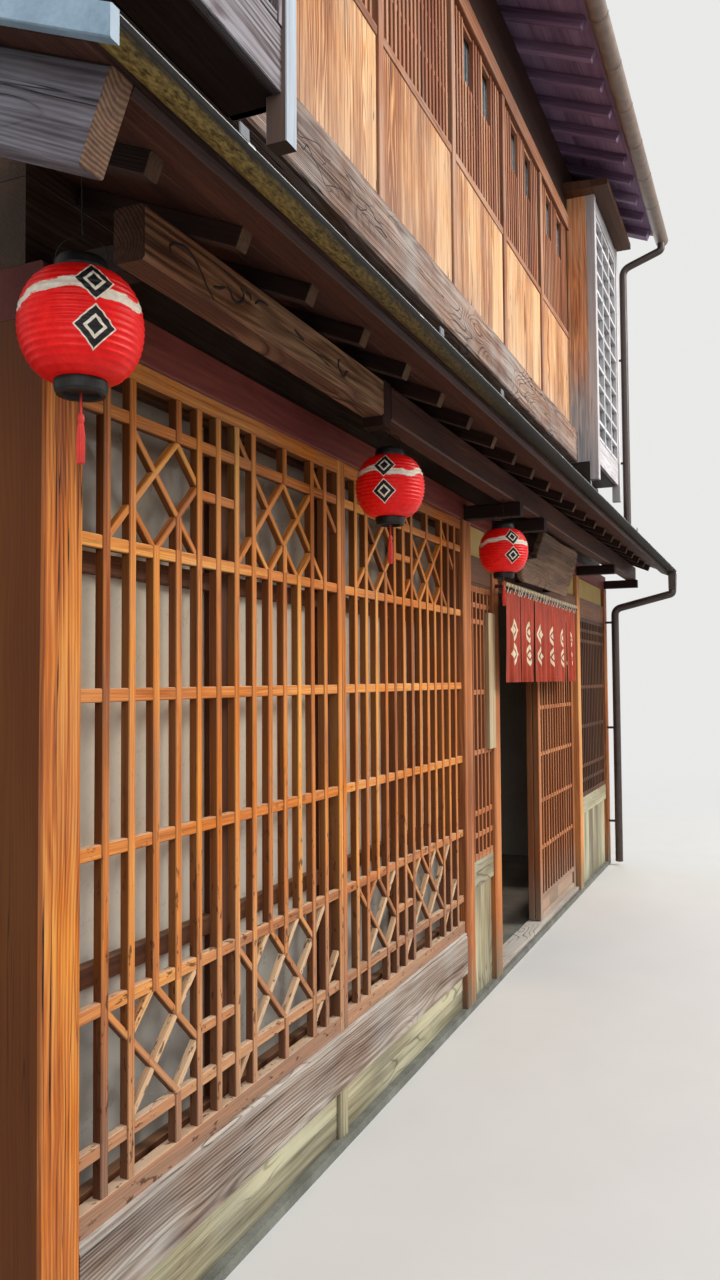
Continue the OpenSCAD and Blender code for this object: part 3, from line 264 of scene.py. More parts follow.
# Materials.
def wood(name, dark, mid, light, aged="968c80", old=0.2, foot=0.0, foot_z=0.5, foot_colour="969b82",
         rough=0.62, relief=0.0008, knots=0.0, rings=0.10, streaks=0.50, fibres=0.22, patches=0.45,
         tones=0.36, flank_shade=(0.45, "462210"), top_light_and_bleach=(0.5, "ceb08e"), figure=0.0, splits=0.0, low_colour=None,
         low_z=1.0, chips=0.0):
    """Sawn timber. Its grain follows each stick's own length. It greys with age and towards its foot, and is
    bleached where its tone is over 1. Faces that look left, right or down are darkened: painted shade, in
    part the dark oil that sheltered faces keep. Faces that look up are paled: painted top light, in part sun
    bleaching."""
    s = Shader(name)
    grain, place = s.read("grain", "Vector"), s.place()
    tone, edge, side = s.read("tone"), s.read("edge"), s.read("side")
    warp = s.scaled(s.noise(grain, (5, 5, 1.1), 2.0, output=1), (0.07, 0.07, 0.0))
    bent = s.node("VectorMath", {0: warp, 1: s.scaled(grain, (1, 1, 0.10))}, operation="ADD")
    waves = {"Vector": bent, "Scale": 42.0, "Distortion": 1.2, "Detail": 2.0, "Detail Scale": 1.5}
    ring = s.node("TexWave", waves, 1, wave_type="RINGS", rings_direction="Z", wave_profile="SIN")
    streak = s.noise(grain, (70, 70, 1.8), 4.0, 0.6)
    fibre = s.noise(grain, (420, 420, 9), 3.0, 0.6)
    patch = s.noise(grain, (7, 7, 1.3))
    shade = 0.5
    for value, weight in ((ring, rings), (streak, streaks * 1.6), (fibre, fibres), (patch, patches * 1.5),
                          (tone, tones)):
        shade = (value - 0.5) * weight + shade
    base = s.ramp(shade, 0.12, 0.88, dark, mid, light)
    if knots:
        cell = s.node("TexVoronoi", {"Vector": s.scaled(grain, (9, 9, 2.6)), "Scale": 1.0}, "Distance")
        base = s.mix(s.span(cell, 0.05, 0.16, knots, 0.0), base, dark)
    high = s.split(place)[2]
    blot = s.noise(place, (3, 3, 2), 4.0, 0.6)
    if low_colour:
        low = s.span(high + (blot - 0.5) * 1.2, low_z - 0.35, low_z + 0.35, 0.9, 0.0)
        base = s.mix(low, base, s.mix(s.span(shade, 0.2, 0.8), linear(low_colour, 0.66), low_colour))
    worn = s.math("ADD", s.span(blot + streak * 0.6, 0.66, 1.0) * old, edge * 0.10, True)
    worn = s.math("ADD", worn, s.span(tone, 1.0, 2.0, 0.0, 0.9), True)
    base = s.mix(worn, base, s.mix(shade, linear(aged, 0.62), aged))
    if foot:
        low = s.span(high + (streak - 0.5) * 0.5, 0.0, foot_z, foot, 0.0)
        base = s.mix(low, base, s.mix(shade, linear(foot_colour, 0.6), foot_colour))
        base = s.mix(s.span(tone, 1.0, 2.0, 0.0, 0.6), base, aged)
    # Painted shade, in part darker oil: faces that look left, right or down go towards the flank colour.
    base = s.mix(s.span(side, -1.0, -0.2, flank_shade[0], 0.0), base, flank_shade[1])
    # Painted top light, in part sun bleaching: faces that look up go patchily towards the crest colour.
    base = s.mix(s.span(side, 0.2, 1.0, 0.0, top_light_and_bleach[0]) * s.span(blot, 0.3, 0.6, 0.5, 1.0), base, top_light_and_bleach[1])
    height = fibre * 0.5 + (streak * 0.9 + ring * 0.25)
    if figure:
        wave = s.math("PINGPONG", s.noise(grain, (6.5, 6.5, 2.0), 1.5, 0.45) * 15.0, 0.5)
        where = s.span(s.noise(grain, (2.2, 2.2, 1.3), 2.0), 0.62 - 0.18 * figure, 0.62)
        line = s.span(wave, 0.03, 0.11, figure, 0.0) * where
        base = s.mix(line, base, linear(dark, 0.45))
        base = s.mix(s.span(wave, 0.16, 0.34, 0.0, 0.35 * figure) * where, base, light)
        height = height - line * 2.0
    if splits:
        thin = abs(s.noise(grain, (46, 46, 0.9), 2.0, 0.4) - 0.5)
        where = s.span(s.noise(grain, (5, 5, 0.8), 2.0), 0.48, 0.56)
        crack = s.span(thin, 0.004, 0.014, splits, 0.0) * where
        base = s.mix(crack, base, linear(dark, 0.4))
        height = height - crack
    if chips:
        nick = s.span(s.noise(grain, (70, 70, 26), 3.0, 0.6), 0.60, 0.66, 0.0, chips)
        nick = nick * s.span(high, 0.95, 1.35, 1.0, 0.12)
        base = s.mix(nick, base, linear(dark, 0.5))
        height = height - nick
    roughness = s.span(fibre + streak, 0.7, 1.3, rough - 0.12, rough + 0.18)
    s.finish(base, roughness, height, relief, IOR=1.45, Specular_IOR_Level=0.28)


def plain(name, low, high, rough, scale, relief, metallic=0.0, speck=None):
    """A mottled surface: plaster, stone, clay or painted metal."""
    s = Shader(name)
    place = s.place()
    mixed = s.noise(place, scale, 5.0, 0.6) * 0.7 + s.noise(place, scale * 14, 4.0, 0.6) * 0.3
    colour = s.ramp(mixed, 0.32, 0.68, low, high)
    if speck:
        colour = s.mix(s.span(s.noise(place, scale * 2.2, 6.0, 0.7), 0.62, 0.72), colour, speck)
    s.finish(colour, s.span(mixed, 0.35, 0.65, rough - 0.1, rough + 0.12), mixed, relief, Metallic=metallic)


def gutter_metal():
    """Old painted sheet: black near its rim, partly painted shade there, with a coat of yellow lichen and
    dark specks below, the lichen mostly towards the left end.
    """
    s = Shader("gutter_metal")
    place = s.place()
    cloud = s.noise(place, (5, 30, 30), 4.0, 0.6)
    grit = s.noise(place, (60, 160, 160), 4.0, 0.65)
    lichen = s.ramp(grit, 0.34, 0.62, "42341a", "766032", "9e8850", middle=0.4)
    black = s.ramp(grit, 0.3, 0.7, "0a0909", "221e1a")
    near = s.span(s.split(place)[0] + cloud * 1.6, -2.9, -0.9, 0.9, 0.04)
    where = s.span(s.read("tone") + (cloud - 0.5) * 0.7, 0.54, 0.86) * near
    stain = s.span(s.noise(place, (14, 60, 60), 5.0, 0.7), 0.50, 0.68, 0.0, 0.7)
    colour = s.mix(stain, s.mix(where, black, lichen), "241d12")
    s.finish(colour, s.span(grit, 0.3, 0.7, 0.6, 0.85), grit, 0.0006, Specular_IOR_Level=0.14)


# BARE turns off the painted flank shade, or the painted top light on up faces.
BARE = (0.0, "000000")
wood("lattice_wood", "883e0c", "da7a24", "fcac48", aged="e4be96", old=0.3, foot=1.4, foot_z=0.95,
     foot_colour="b8947c", rings=0.10, streaks=0.62, fibres=0.30, patches=0.60, tones=0.28,
     flank_shade=(0.84, "46200a"), top_light_and_bleach=(0.9, "e8c8a8"), rough=0.55, splits=0.4, chips=0.8)
wood("post_wood", "8c481e", "da8442", "f0ac66", foot=0.85, foot_z=0.32, foot_colour="96967c", rings=0.15,
     streaks=0.6, patches=0.6, splits=0.6, flank_shade=(0.45, "562c14"))
wood("corner_post_wood", "743008", "c6681c", "ec9c42", foot=0.45, foot_z=0.45, foot_colour="94765e",
     rings=0.22, streaks=0.80, fibres=0.36, patches=1.0, splits=1.1, flank_shade=(0.94, "502608"))
wood("sill_wood", "5e4436", "9c8676", "cec2b4", aged="c4beb6", old=0.75, relief=0.002, rough=0.75,
     rings=0.3, streaks=0.6, fibres=0.3, patches=1.0, figure=0.55, splits=0.8, flank_shade=(0.3, "46362c"),
     top_light_and_bleach=(0.7, "d6cec4"))
wood("kick_wood", "68543c", "a49878", "d2caa6", aged="bcbaa6", old=0.6, foot=0.6, foot_z=0.14,
     foot_colour="7a7a62", streaks=0.5, patches=1.1, figure=0.55, flank_shade=(0.3, "54503a"),
     top_light_and_bleach=(0.5, "c4beac"))
wood("dark_wood", "140a08", "2c1811", "482a1c", aged="543e30", old=0.06, flank_shade=(0.5, "120a08"), top_light_and_bleach=BARE)
wood("head_wood", "401a18", "76322c", "964c40", aged="806054", old=0.1, flank_shade=(0.5, "1a0d0b"), top_light_and_bleach=BARE)
wood("sash_wood", "32180c", "5c321a", "7e4c2c", aged="967054", old=0.2, top_light_and_bleach=(0.4, "aa8464"))
wood("door_wood", "7e421e", "b86c3a", "d8925c", foot=1.1, foot_z=0.42, foot_colour="cebaa6", rings=0.08,
     streaks=0.5, fibres=0.2, patches=0.6, flank_shade=(0.7, "582e18"))
wood("lintel_wood", "46281a", "70442a", "92603e", flank_shade=(0.5, "28160e"), top_light_and_bleach=BARE)
wood("sign_wood", "886848", "b49670", "d0b894", aged="beb294", old=0.35, streaks=0.7, patches=0.8,
     flank_shade=(0.5, "5c442a"))
wood("beam_wood", "603e30", "98725e", "c4a48e", aged="cec2ba", old=0.9, relief=0.003, rough=0.75, knots=0.3,
     rings=0.3, streaks=0.7, fibres=0.3, patches=0.9, figure=0.6, splits=1.0, flank_shade=(0.5, "3c2418"))
wood("purlin_wood", "462616", "966242", "cc9a72", aged="ba9e7e", old=0.5, relief=0.003, rough=0.72,
     knots=0.3, rings=0.3, streaks=0.8, patches=0.9, figure=0.8, splits=0.8, flank_shade=(0.8, "422016"),
     top_light_and_bleach=BARE)
wood("soffit_wood", "180d0c", "3e221c", "643e32", old=0.04, patches=0.8, top_light_and_bleach=BARE)
wood("eaves_wood", "463248", "927494", "bc9cb8", aged="b4a4be", old=0.15, flank_shade=(0.3, "543e54"), top_light_and_bleach=BARE)
wood("rafter_wood", "180e0c", "362119", "543628", old=0.06, top_light_and_bleach=BARE, flank_shade=(0.4, "1e110d"))
wood("board_wood", "924e22", "e09a5c", "f6ca96", aged="e8d4be", old=0.35, rings=0.5, streaks=0.9,
     fibres=1.0, tones=0.5, patches=0.9, splits=1.2, knots=0.35, low_colour="e4ceb8", low_z=3.20)
wood("frame_wood", "703a22", "ac6c48", "d09a74", aged="cebaac", old=0.4, streaks=0.7, fibres=0.4,
     patches=0.7, splits=0.8, low_colour="c4bcbe", low_z=3.10, flank_shade=(0.6, "4e2818"))
wood("fine_wood", "70381e", "b06a46", "d2966e", aged="c4a48c", old=0.35, rings=0.05, streaks=0.6,
     patches=0.8, flank_shade=(0.6, "502a1c"))
wood("fine_dark_wood", "2e160c", "522e1a", "70462c", aged="6c5644", old=0.3, streaks=0.6, patches=0.8,
     flank_shade=(0.6, "2c1a10"))
wood("box_wood", "aa5a30", "ea9e64", "fac892", aged="cebeae", old=0.3, low_colour="bac4ce", low_z=3.75,
     rings=0.15, streaks=0.8, splits=0.6, flank_shade=BARE, top_light_and_bleach=(0.4, "bec4c8"))
wood("bleached_box_wood", "a4a0a4", "e2dcde", "f6f2f4", aged="f6f4f6", old=0.5, rings=0.2, streaks=0.9,
     splits=0.6, flank_shade=(0.6, "968e8c"), top_light_and_bleach=(0.4, "ced2d8"))
wood("slab_wood", "422e22", "7c5c46", "9e7e66", aged="8e7a68", old=0.4, relief=0.004, rough=0.75, rings=0.3,
     streaks=0.8, patches=0.9, figure=0.6, splits=0.8, flank_shade=(0.4, "3c2a1e"), top_light_and_bleach=BARE)
wood("weathered_box_wood", "322626", "6a5c5e", "a49ca0", aged="b4b6be", old=0.55, relief=0.0025, rough=0.8,
     rings=0.35, streaks=1.2, patches=1.0, figure=0.7, splits=1.0, flank_shade=(0.5, "40302a"),
     top_light_and_bleach=(0.4, "aaacb0"))
wood("bleached_post_wood", "96a0ac", "c4ceda", "e0e8f0", aged="dee4ea", old=0.3, rings=0.15, streaks=0.6,
     splits=0.5, flank_shade=(0.95, "543826"), top_light_and_bleach=(0.4, "bec4cc"))
wood("wall_wood", "18100c", "382418", "563c2a", old=0.12, rings=0.1, streaks=0.7, flank_shade=(0.3, "3a2212"),
     top_light_and_bleach=BARE)
wood("floor_wood", "785434", "aa8056", "c8a074")
wood("verge_wood", "463e42", "70686e", "98929a", aged="a8a6ae", old=0.5, relief=0.003, rough=0.8, rings=0.2,
     streaks=0.6, patches=0.9, figure=1.0, splits=0.8, flank_shade=BARE, top_light_and_bleach=BARE)
wood("rafter_tip_wood", "3c281c", "583e2c", "74563e", old=0.1, flank_shade=BARE, top_light_and_bleach=BARE)
wood("verge_end_wood", "3a281e", "624430", "8a644a", old=0.2, rings=0.5, flank_shade=BARE, top_light_and_bleach=BARE)
plain("footing_stone", "54544e", "8c8c82", 0.8, 9.0, 0.003)
plain("packed_earth", "685e52", "8c8070", 0.9, 6.0, 0.003)
plain("ochre_plaster", "cea862", "e8c886", 0.85, 5.0, 0.0012)
plain("party_plaster", "a8a092", "cac4b8", 0.85, 3.0, 0.0012)
plain("roof_tile", "34383c", "606468", 0.45, 22.0, 0.0008, speck="686e54")
plain("pipe_metal", "2c221e", "4a3830", 0.45, 14.0, 0.0005)
plain("eave_gutter_metal", "604e44", "8e7a6c", 0.45, 16.0, 0.0006)
plain("verge_cap_metal", "70889a", "9eb4c4", 0.5, 7.0, 0.0006)
plain("black_iron", "121212", "2c2a28", 0.5, 60.0, 0.0003, metallic=0.6)
# Near black: painted shade of carved grooves.
plain("groove_shade", "160b07", "2e1a12", 0.85, 60.0, 0.0004)
# Near white: painted highlight on the pent gutter's rim, and its straps.
plain("rim_highlight_white", "ceced0", "fafafa", 0.5, 30.0, 0.0003)
plain("old_zinc", "4e5056", "868890", 0.65, 30.0, 0.0004)
plain("red_silk", "b41a12", "e83e2c", 0.6, 40.0, 0.0006)
plain("loop_cotton", "c8baa4", "f0e8d8", 0.85, 90.0, 0.0006)
gutter_metal()


# Mesh builders.
def net(base, rows, wide, closed=True):
    """The faces that join rows of points, each row wide points long. The first point's number is base."""
    return [(k + c, k + (c + 1) % wide, k + wide + (c + 1) % wide, k + wide + c)
            for k in range(base, base + (rows - 1) * wide, wide) for c in range(wide if closed else wide - 1)]


def beside(line, i):
    """The points before and after point number i, or itself at an end."""
    return line[max(0, i - 1)], line[min(len(line) - 1, i + 1)]


def tag(mesh, key, values, domain="POINT"):
    """Gives each point or face of a mesh a number or a vector that its material reads."""
    values = np.array(values, np.float32)
    kind, field = ("FLOAT", "value") if values.ndim == 1 else ("FLOAT_VECTOR", "vector")
    mesh.attributes.new(key, kind, domain).data.foreach_set(field, values.ravel())


def form(name, material, points, faces):
    mesh = bpy.data.meshes.new(name)
    mesh.from_pydata([tuple(p) for p in points], [], faces)
    mesh.materials.append(MATERIALS[material])
    return mesh


def settle(mesh, name, body, replaces):
    """Makes a mesh an object that rides on a body and stands for CAD nodes."""
    mesh.update()
    made = bpy.data.objects.new(name + "_dressed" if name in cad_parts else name, mesh)
    bpy.context.scene.collection.objects.link(made)
    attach(made, body)
    if replaces:
        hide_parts(*replaces)
    return made


class Timbers:
    """Gathers sticks and boards with chamfered arrises in one mesh, each with its own grain and tone."""

    def __init__(self, name, material, seed, chamfer=0.0018, body=HOUSE):
        self.name, self.material, self.chamfer, self.body = name, material, chamfer, body
        self.dice = random.Random(seed)
        self.points, self.faces, self.grain, self.tone, self.edge = [], [], [], [], []

    def stick(self, start, end, wide, deep, side, chamfer=None, steps=1, wobble=0.0, tone=None):
        """A stick from start to end. wide is measured along side, and deep square to it."""
        dice, start, end = self.dice, Vector(start), Vector(end)
        axis, length = (end - start).normalized(), (end - start).length
        side = (Vector(side) - axis * Vector(side).dot(axis)).normalized()
        out = axis.cross(side)
        c = min(self.chamfer if chamfer is None else chamfer, wide * 0.3, deep * 0.3)
        a, b = wide / 2, deep / 2
        half = [(a - c, -b), (a, -b + c), (a, b - c), (a - c, b)]
        ring = half + [(-u, -v) for u, v in half]
        right, up = (dice.uniform(0.02, 0.11) * dice.choice((-1, 1)) for _ in range(2))
        along = dice.uniform(0, 40)
        tone = dice.random() if tone is None else tone
        phase, first = dice.uniform(0, 99), len(self.points)
        for i in range(steps + 1):
            at = length * i / steps
            sway = Vector((math.sin(phase + 2.3 * at), math.sin(1.7 * phase + 3.1 * at))) * wobble
            for u, v in ring:
                rough = 1 + (dice.uniform(-1, 1) * wobble * 0.35 / max(wide, deep) if wobble else 0)
                self.points.append(start + axis * at + side * (u * rough + sway.x) +
                                   out * (v * rough + sway.y))
                self.grain.append((u + right, v + up, at + along))
                self.tone.append(tone)
        self.faces += net(first, steps + 1, 8) + [tuple(range(first + 7, first - 1, -1)),
                                                  tuple(range(first + steps * 8, first + steps * 8 + 8))]
        self.edge += [1.0, 0.0] * (4 * steps) + [0.0, 0.0]

    def block(self, x, y, z, along=None, **options):
        """A stick that fills three stretches. Its grain runs along that axis, else along the longest."""
        spans = (x, y, z)
        size = [high - low for low, high in spans]
        axis = "xyz".index(along) if along else size.index(max(size))
        wide, deep = ((2, 1), (0, 2), (0, 1))[axis]
        start = [(low + high) / 2 for low, high in spans]
        end, side = list(start), [0, 0, 0]
        start[axis], end[axis] = spans[axis]
        side[wide] = 1
        self.stick(start, end, size[wide], size[deep], side, **options)

    def boards(self, x, y, z, across, width, along):
        """A surface of boards side by side, each about width wide, set out along the across axis."""
        spans, a = [x, y, z], "xyz".index(across)
        low, high = spans[a]
        n = max(1, round((high - low) / width))
        step = (high - low) / n
        for i in range(n):
            spans[a] = (low + i * step + (BOARD_GAP / 2 if i else 0),
                        low + (i + 1) * step - (BOARD_GAP / 2 if i < n - 1 else 0))
            self.block(*spans, along)

    def bars(self, x, n, wide, y, z, short=(), cut=0.0):
        """Upright bars evenly spaced over a clear stretch. The short ones end that much lower."""
        step = (x[1] - x[0] - n * wide) / (n + 1) + wide
        for k in range(1, n + 1):
            end = x[0] + k * step
            self.block((end - wide, end), y, (z[0], z[1] - (cut if k in short else 0)))

    def rails(self, x, y, heights, tall, **options):
        for z in heights:
            self.block(x, y, run(z, tall), **options)

    def done(self, *replaces, slot=None):
        mesh = form(self.name, self.material, self.points, self.faces)
        normals = np.zeros(len(self.faces) * 3, np.float32)
        mesh.polygons.foreach_get("normal", normals)
        x, _, z = normals.reshape(-1, 3).T
        left, right, below, above = (np.clip(way * 1.6 - 0.6, 0, 1) for way in (-x, x, -z, z))
        tag(mesh, "grain", self.grain)
        tag(mesh, "tone", self.tone)
        tag(mesh, "edge", self.edge, "FACE")
        # side: 1 on faces that look up, down to -1 on faces that look left, right or down; the wood paints
        # shade and top light by it.
        tag(mesh, "side", above - np.clip(left + right * 0.8 + below, 0, 1), "FACE")
        return settle(mesh, self.name, self.body, replaces)


class Sheet:
    """Gathers plain facets in one mesh, with a tone at each corner."""

    def __init__(self, name, material):
        self.name, self.material = name, material
        self.points, self.faces, self.tone = [], [], []

    def add(self, points, tone):
        self.points.extend(points)
        self.tone.extend(tone if isinstance(tone, list) else [tone] * len(points))

    def grid(self, rows, tone=0.5, closed=False):
        """A net of points, joined row to row. Each row is a list of points of the same length."""
        self.faces += net(len(self.points), len(rows), len(rows[0]), closed)
        for row in rows:
            self.add(row, tone)

    def face(self, points, tone=0.5):
        self.faces.append(tuple(range(len(self.points), len(self.points) + len(points))))
        self.add(points, tone)

    def done(self, *replaces, slot=None):
        mesh = form(self.name, self.material, self.points, self.faces)
        tag(mesh, "tone", self.tone)
        return settle(mesh, self.name, HOUSE, replaces)


# Round and bent forms.
def arc(y, z, r, turn0=math.pi, turn1=2 * math.pi, steps=16):
    """Points on an arc round y and z, by default its lower half."""
    return [(y + r * math.cos(q), z + r * math.sin(q)) for q in
            [turn0 + (turn1 - turn0) * k / steps for k in range(steps + 1)]]


def sweep(sheet, section, x0, x1, steps=1, tone=0.5, sag=0.0):
    """Carries a closed section in y and z along x, with its ends closed."""
    rows = []
    for k in range(steps + 1):
        x = x0 + (x1 - x0) * k / steps
        rows.append([(x, y, z + sag * math.sin(9.0 * x) * 0.5) for y, z in section])
    sheet.grid(rows, tone, closed=True)
    sheet.face(rows[0][::-1], tone[::-1] if isinstance(tone, list) else tone)
    sheet.face(rows[-1], tone)


def plate(sheet, section, x, half, **options):
    """A short sweep that far to each side of x."""
    sweep(sheet, section, x - half, x + half, **options)


def ribbon(line, thick):
    """A closed section of that thickness round an open line of points."""
    left, right = [], []
    for i, (y, z) in enumerate(line):
        a, b = beside(line, i)
        half = thick / 2 / math.dist(a, b)
        dy, dz = (b[0] - a[0]) * half, (b[1] - a[1]) * half
        left.append((y - dz, z + dy))
        right.append((y + dz, z - dy))
    return left + right[::-1]


def tube(sheet, path, radius, sides=18, tone=0.5):
    """A round tube through the points, its ends closed. radius may be one for each point."""
    radii = radius if isinstance(radius, list) else [radius] * len(path)
    points = [Vector(p) for p in path]
    rows, across = [], None
    for i, p in enumerate(points):
        a, b = beside(points, i)
        axis = (b - a).normalized()
        if across is None:
            across = axis.orthogonal().normalized()
        across = (across - axis * across.dot(axis)).normalized()
        other = axis.cross(across)
        rows.append([p + across * u + other * v for u, v in arc(0, 0, radii[i], 0, TURN, sides)[:-1]])
    sheet.grid(rows, tone, closed=True)
    sheet.face(rows[0][::-1], tone)
    sheet.face(rows[-1], tone)


def rounded(path, radius, steps=6):
    """The path with each inner corner rounded off."""
    points = [Vector(p) for p in path]
    made = [points[0]]
    for a, b, c in zip(points, points[1:], points[2:]):
        r = min(radius, (b - a).length * 0.45, (c - b).length * 0.45)
        start, end = b + (a - b).normalized() * r, b + (c - b).normalized() * r
        for f in [k / steps for k in range(steps + 1)]:
            made.append(start * (1 - f) ** 2 + b * 2 * f * (1 - f) + end * f * f)
    return made + [points[-1]]


def collar(sheet, at, axis, radius, long):
    """A band round a pipe."""
    half = Vector(axis).normalized() * long / 2
    a, b = Vector(at) - half, Vector(at) + half
    tube(sheet, [a, a, b, b], [radius - 0.003, radius, radius, radius - 0.003], 20, 0.3)


# Ground storey.
t = Timbers("posts", "post_wood", 3, 0.004)
for x, wide in ((grid(3), POST), (X_JAMB, JAMB), (X_DOOR_POST, DOOR_POST), (X_R, POST)):
    t.block(about(x, wide), WALL, (FOOTING, HEAD), steps=8, wobble=0.0008)
t.done("front_posts", slot="post_wood")
t = Timbers("corner_post", "corner_post_wood", 5, 0.006)
t.block(run(OUT_L, POST), WALL, (FOOTING, HEAD), steps=10, wobble=0.001, tone=0.6)
t.done()

t = Timbers("front_sill", "sill_wood", 8, 0.005)
t.block(WINDOW, WALL, (SILL, SILL_EDGE), steps=24, wobble=0.0012, tone=0.5)
t.block(WINDOW, (FACE + 0.004, POST_BACK), (SILL_EDGE, SILL_TOP), steps=24, tone=0.9)
t.done("front_sill", slot="sill_wood")

KICK = FACE + 0.026
BEHIND_KICK = run(KICK, 0.024)
t = Timbers("kickboards", "kick_wood", 11)
for low, high in ((FOOTING, 0.108), (0.108, SILL)):
    t.block(WINDOW, BEHIND_KICK, (low + 0.001, high))
t.block(about(grid(1.5), 0.060), (FACE + 0.013, KICK), (FOOTING, SILL))
for bay in SIDE_BAYS:
    t.boards(bay, BEHIND_KICK, (FOOTING, SIDE_RAIL), "x", 0.16, "z")
    t.block(bay, (KICK - 0.014, KICK + 0.024), (SIDE_RAIL, SIDE_LATTICE))
t.done("kickboards", slot="kick_wood")

# The lattice window. Each diagonal: bar at its band's edge, side it runs to, first and last bar it meets.
FIRST_DIAMOND = ((0, 1, 2, 3), (2, 1, 2, 5), (4, 1, 4, 5), (4, -1, 1, 4), (6, -1, 3, 5))
SECOND_DIAMOND = ((6, 1, 8, 9), (8, 1, 8, 11), (10, 1, 10, 13), (10, -1, 7, 10), (12, -1, 9, 12),
                  (14, -1, 11, 12), (13, 1, 13, 14))
STRIP_DIAGONALS = ((8, 1, 7, 8), (13, 1, 12, 13))


def bar_x(k):
    """How far bar number k stands from its panel's clear edge."""
    return MARGIN + (k - 1) * PITCH


def shifted(diagonals, shift):
    """The diagonals, moved sideways by that many bars."""
    return tuple((at + shift, to, first + shift, last + shift) for at, to, first, last in diagonals)


def lattice_panel(name, node, x0, mullion_right, seed):
    """One framed panel: bars, rails, and a diamond band at the top and, mirrored, at the foot."""
    t = Timbers(name, "lattice_wood", seed, 0.0022)
    shift = 0 if mullion_right else -1
    full_bars, half_bars = (1, 2, 5, 6, 7, 8 if mullion_right else 11, 12, 13), (4, 10 + shift)
    diagonals = FIRST_DIAMOND + shifted(SECOND_DIAMOND, shift)
    left = x0 if mullion_right else x0 + MULLION / 2
    right = x0 + PANEL - (MULLION / 2 if mullion_right else 0)
    front, rail_front, back = LATTICE, LATTICE + 0.003, LATTICE + BAR
    frame_foot, band_foot, band_top = SILL_TOP + FRAME_LOW, RAIL_1 + RAIL, RAIL_5 + RAIL
    t.rails((left, right), (rail_front, back - 0.001), (RAIL_1, RAIL_2, RAIL_3, RAIL_4, RAIL_5, RAIL_6), RAIL,
            steps=10, wobble=0.0004)
    for k in range(1, 14):
        bar = about(left + bar_x(k), BAR)
        stretch = (frame_foot, FRAME_TOP_Z) if k in full_bars else (RAIL_2, band_top)
        t.block(bar, (front, back), stretch, steps=12, wobble=0.0005)
        if k in half_bars:
            for stretch in ((RAIL_6, FRAME_TOP_Z), (band_top, RAIL_6 - 2 * PITCH), (frame_foot, band_foot),
                            (band_foot + 2 * PITCH, RAIL_2)):
                t.block(bar, (front, back), stretch)
    for edge, way in ((RAIL_6, -1), (band_foot, 1)):
        for at, to, first, last in diagonals + shifted(STRIP_DIAGONALS, shift):
            limit = BAND if (at, to, first, last) in diagonals else STRIP_TOP + RAIL
            y = (rail_front + back) / 2 + 0.0006 * to
            drops = [max(-limit, min((bar_x(bar) - bar_x(at)) * to, BAND + 0.01)) for bar in (first, last)]
            ends = [(left + bar_x(bar), y, edge + way * drop) for bar, drop in zip((first, last), drops)]
            bleached = 1.0 + t.dice.random() if way == to == 1 else None
            t.stick(*ends, 0.016, BAR - 0.004, (1, 0, -to * way), steps=2, wobble=0.0004, tone=bleached)
        z = edge + way * (PITCH + RAIL)
        t.block((left + bar_x(5), left + bar_x(7)), (rail_front + 0.001, back - 0.002),
                sorted((z, z - way * 0.026)))
    for stretch in (run(SILL_TOP, FRAME_LOW), (FRAME_TOP_Z, HEAD)):
        t.block(run(x0, PANEL), (front, back + 0.008), stretch, steps=6, wobble=0.0004)
    stile = x0 + PANEL - MULLION / 2 if mullion_right else x0
    t.block(run(stile, MULLION / 2 - 0.0005), (front - 0.001, back + 0.008), (SILL_TOP, HEAD), steps=8,
            wobble=0.0004)
    t.done(node, slot="lattice_wood")


lattice_panel("lattice_left", "lattice_left", WINDOW[0], True, 21)
lattice_panel("lattice_right", "lattice_right", grid(1.5), False, 22)

SASH, SASH_H = FACE + 0.070, 0.046
t = Timbers("window_sashes", "sash_wood", 31)
t.rails(WINDOW, run(SASH, 0.030), (SILL_TOP, RAIL_2 + SASH_H, RAIL_5 - SASH_H, HEAD - SASH_H), SASH_H)
for k in range(5):
    x = WINDOW[0] + (WINDOW[1] - WINDOW[0]) * k / 4
    t.block((max(WINDOW[0], x - 0.042), min(WINDOW[1], x + 0.042)), (SASH - 0.001, SASH + 0.031),
            (SILL_TOP, HEAD))
t.done("window_sashes", slot="dark_wood")

t = Timbers("head_beam", "head_wood", 33, 0.005)
t.block(FRONT, (FACE + 0.005, POST_BACK), (HEAD, HEAD_TOP), steps=20, wobble=0.001)
t.done("head_beam", slot="dark_wood")

t = Timbers("entry_lintel", "lintel_wood", 34, 0.004)
for bay in (SIDE_BAYS[0], ENTRY, SIDE_BAYS[1]):
    t.block(bay, (FACE + 0.010, POST_BACK), (LINTEL + TRACK, LINTEL_TOP), "x")
    guides = ((0.010, 0.031), (0.115, POST)) if bay == ENTRY else ((0.010, POST),)
    for near, far in guides:
        t.block(bay, (FACE + near, FACE + far), (LINTEL, LINTEL + 0.0125), "x")
t.done("entry_lintel", slot="lintel_wood")

t = Timbers("threshold", "sill_wood", 35)
t.block(ENTRY, (FACE + 0.018, POST_BACK), run(FOOTING, THRESHOLD))
t.done("threshold", slot="sill_wood")


def entry_lattice(name, material, bay):
    """The fixed lattice beside the doorway, with its rails in pairs at the top and the foot."""
    t = Timbers(name, material, 36)
    t.bars(bay, round((bay[1] - bay[0]) / PITCH * 1.3), SLIM_BAR, run(LATTICE, BAR), (SIDE_LATTICE, LINTEL))
    t.rails(bay, run(LATTICE + 0.001, BAR), (SIDE_LATTICE, LINTEL - RAIL), RAIL)
    t.rails(bay, (LATTICE + 0.003, LATTICE + 0.023),
            [SIDE_LATTICE + f * (LINTEL - SIDE_LATTICE) for f in (0.08, 0.16, 0.38, 0.6, 0.86, 0.92)], 0.024)
    t.done("entry_lattices", slot="lattice_wood")


entry_lattice("entry_lattice_left", "door_wood", SIDE_BAYS[0])
entry_lattice("entry_lattice_right", "fine_dark_wood", SIDE_BAYS[1])


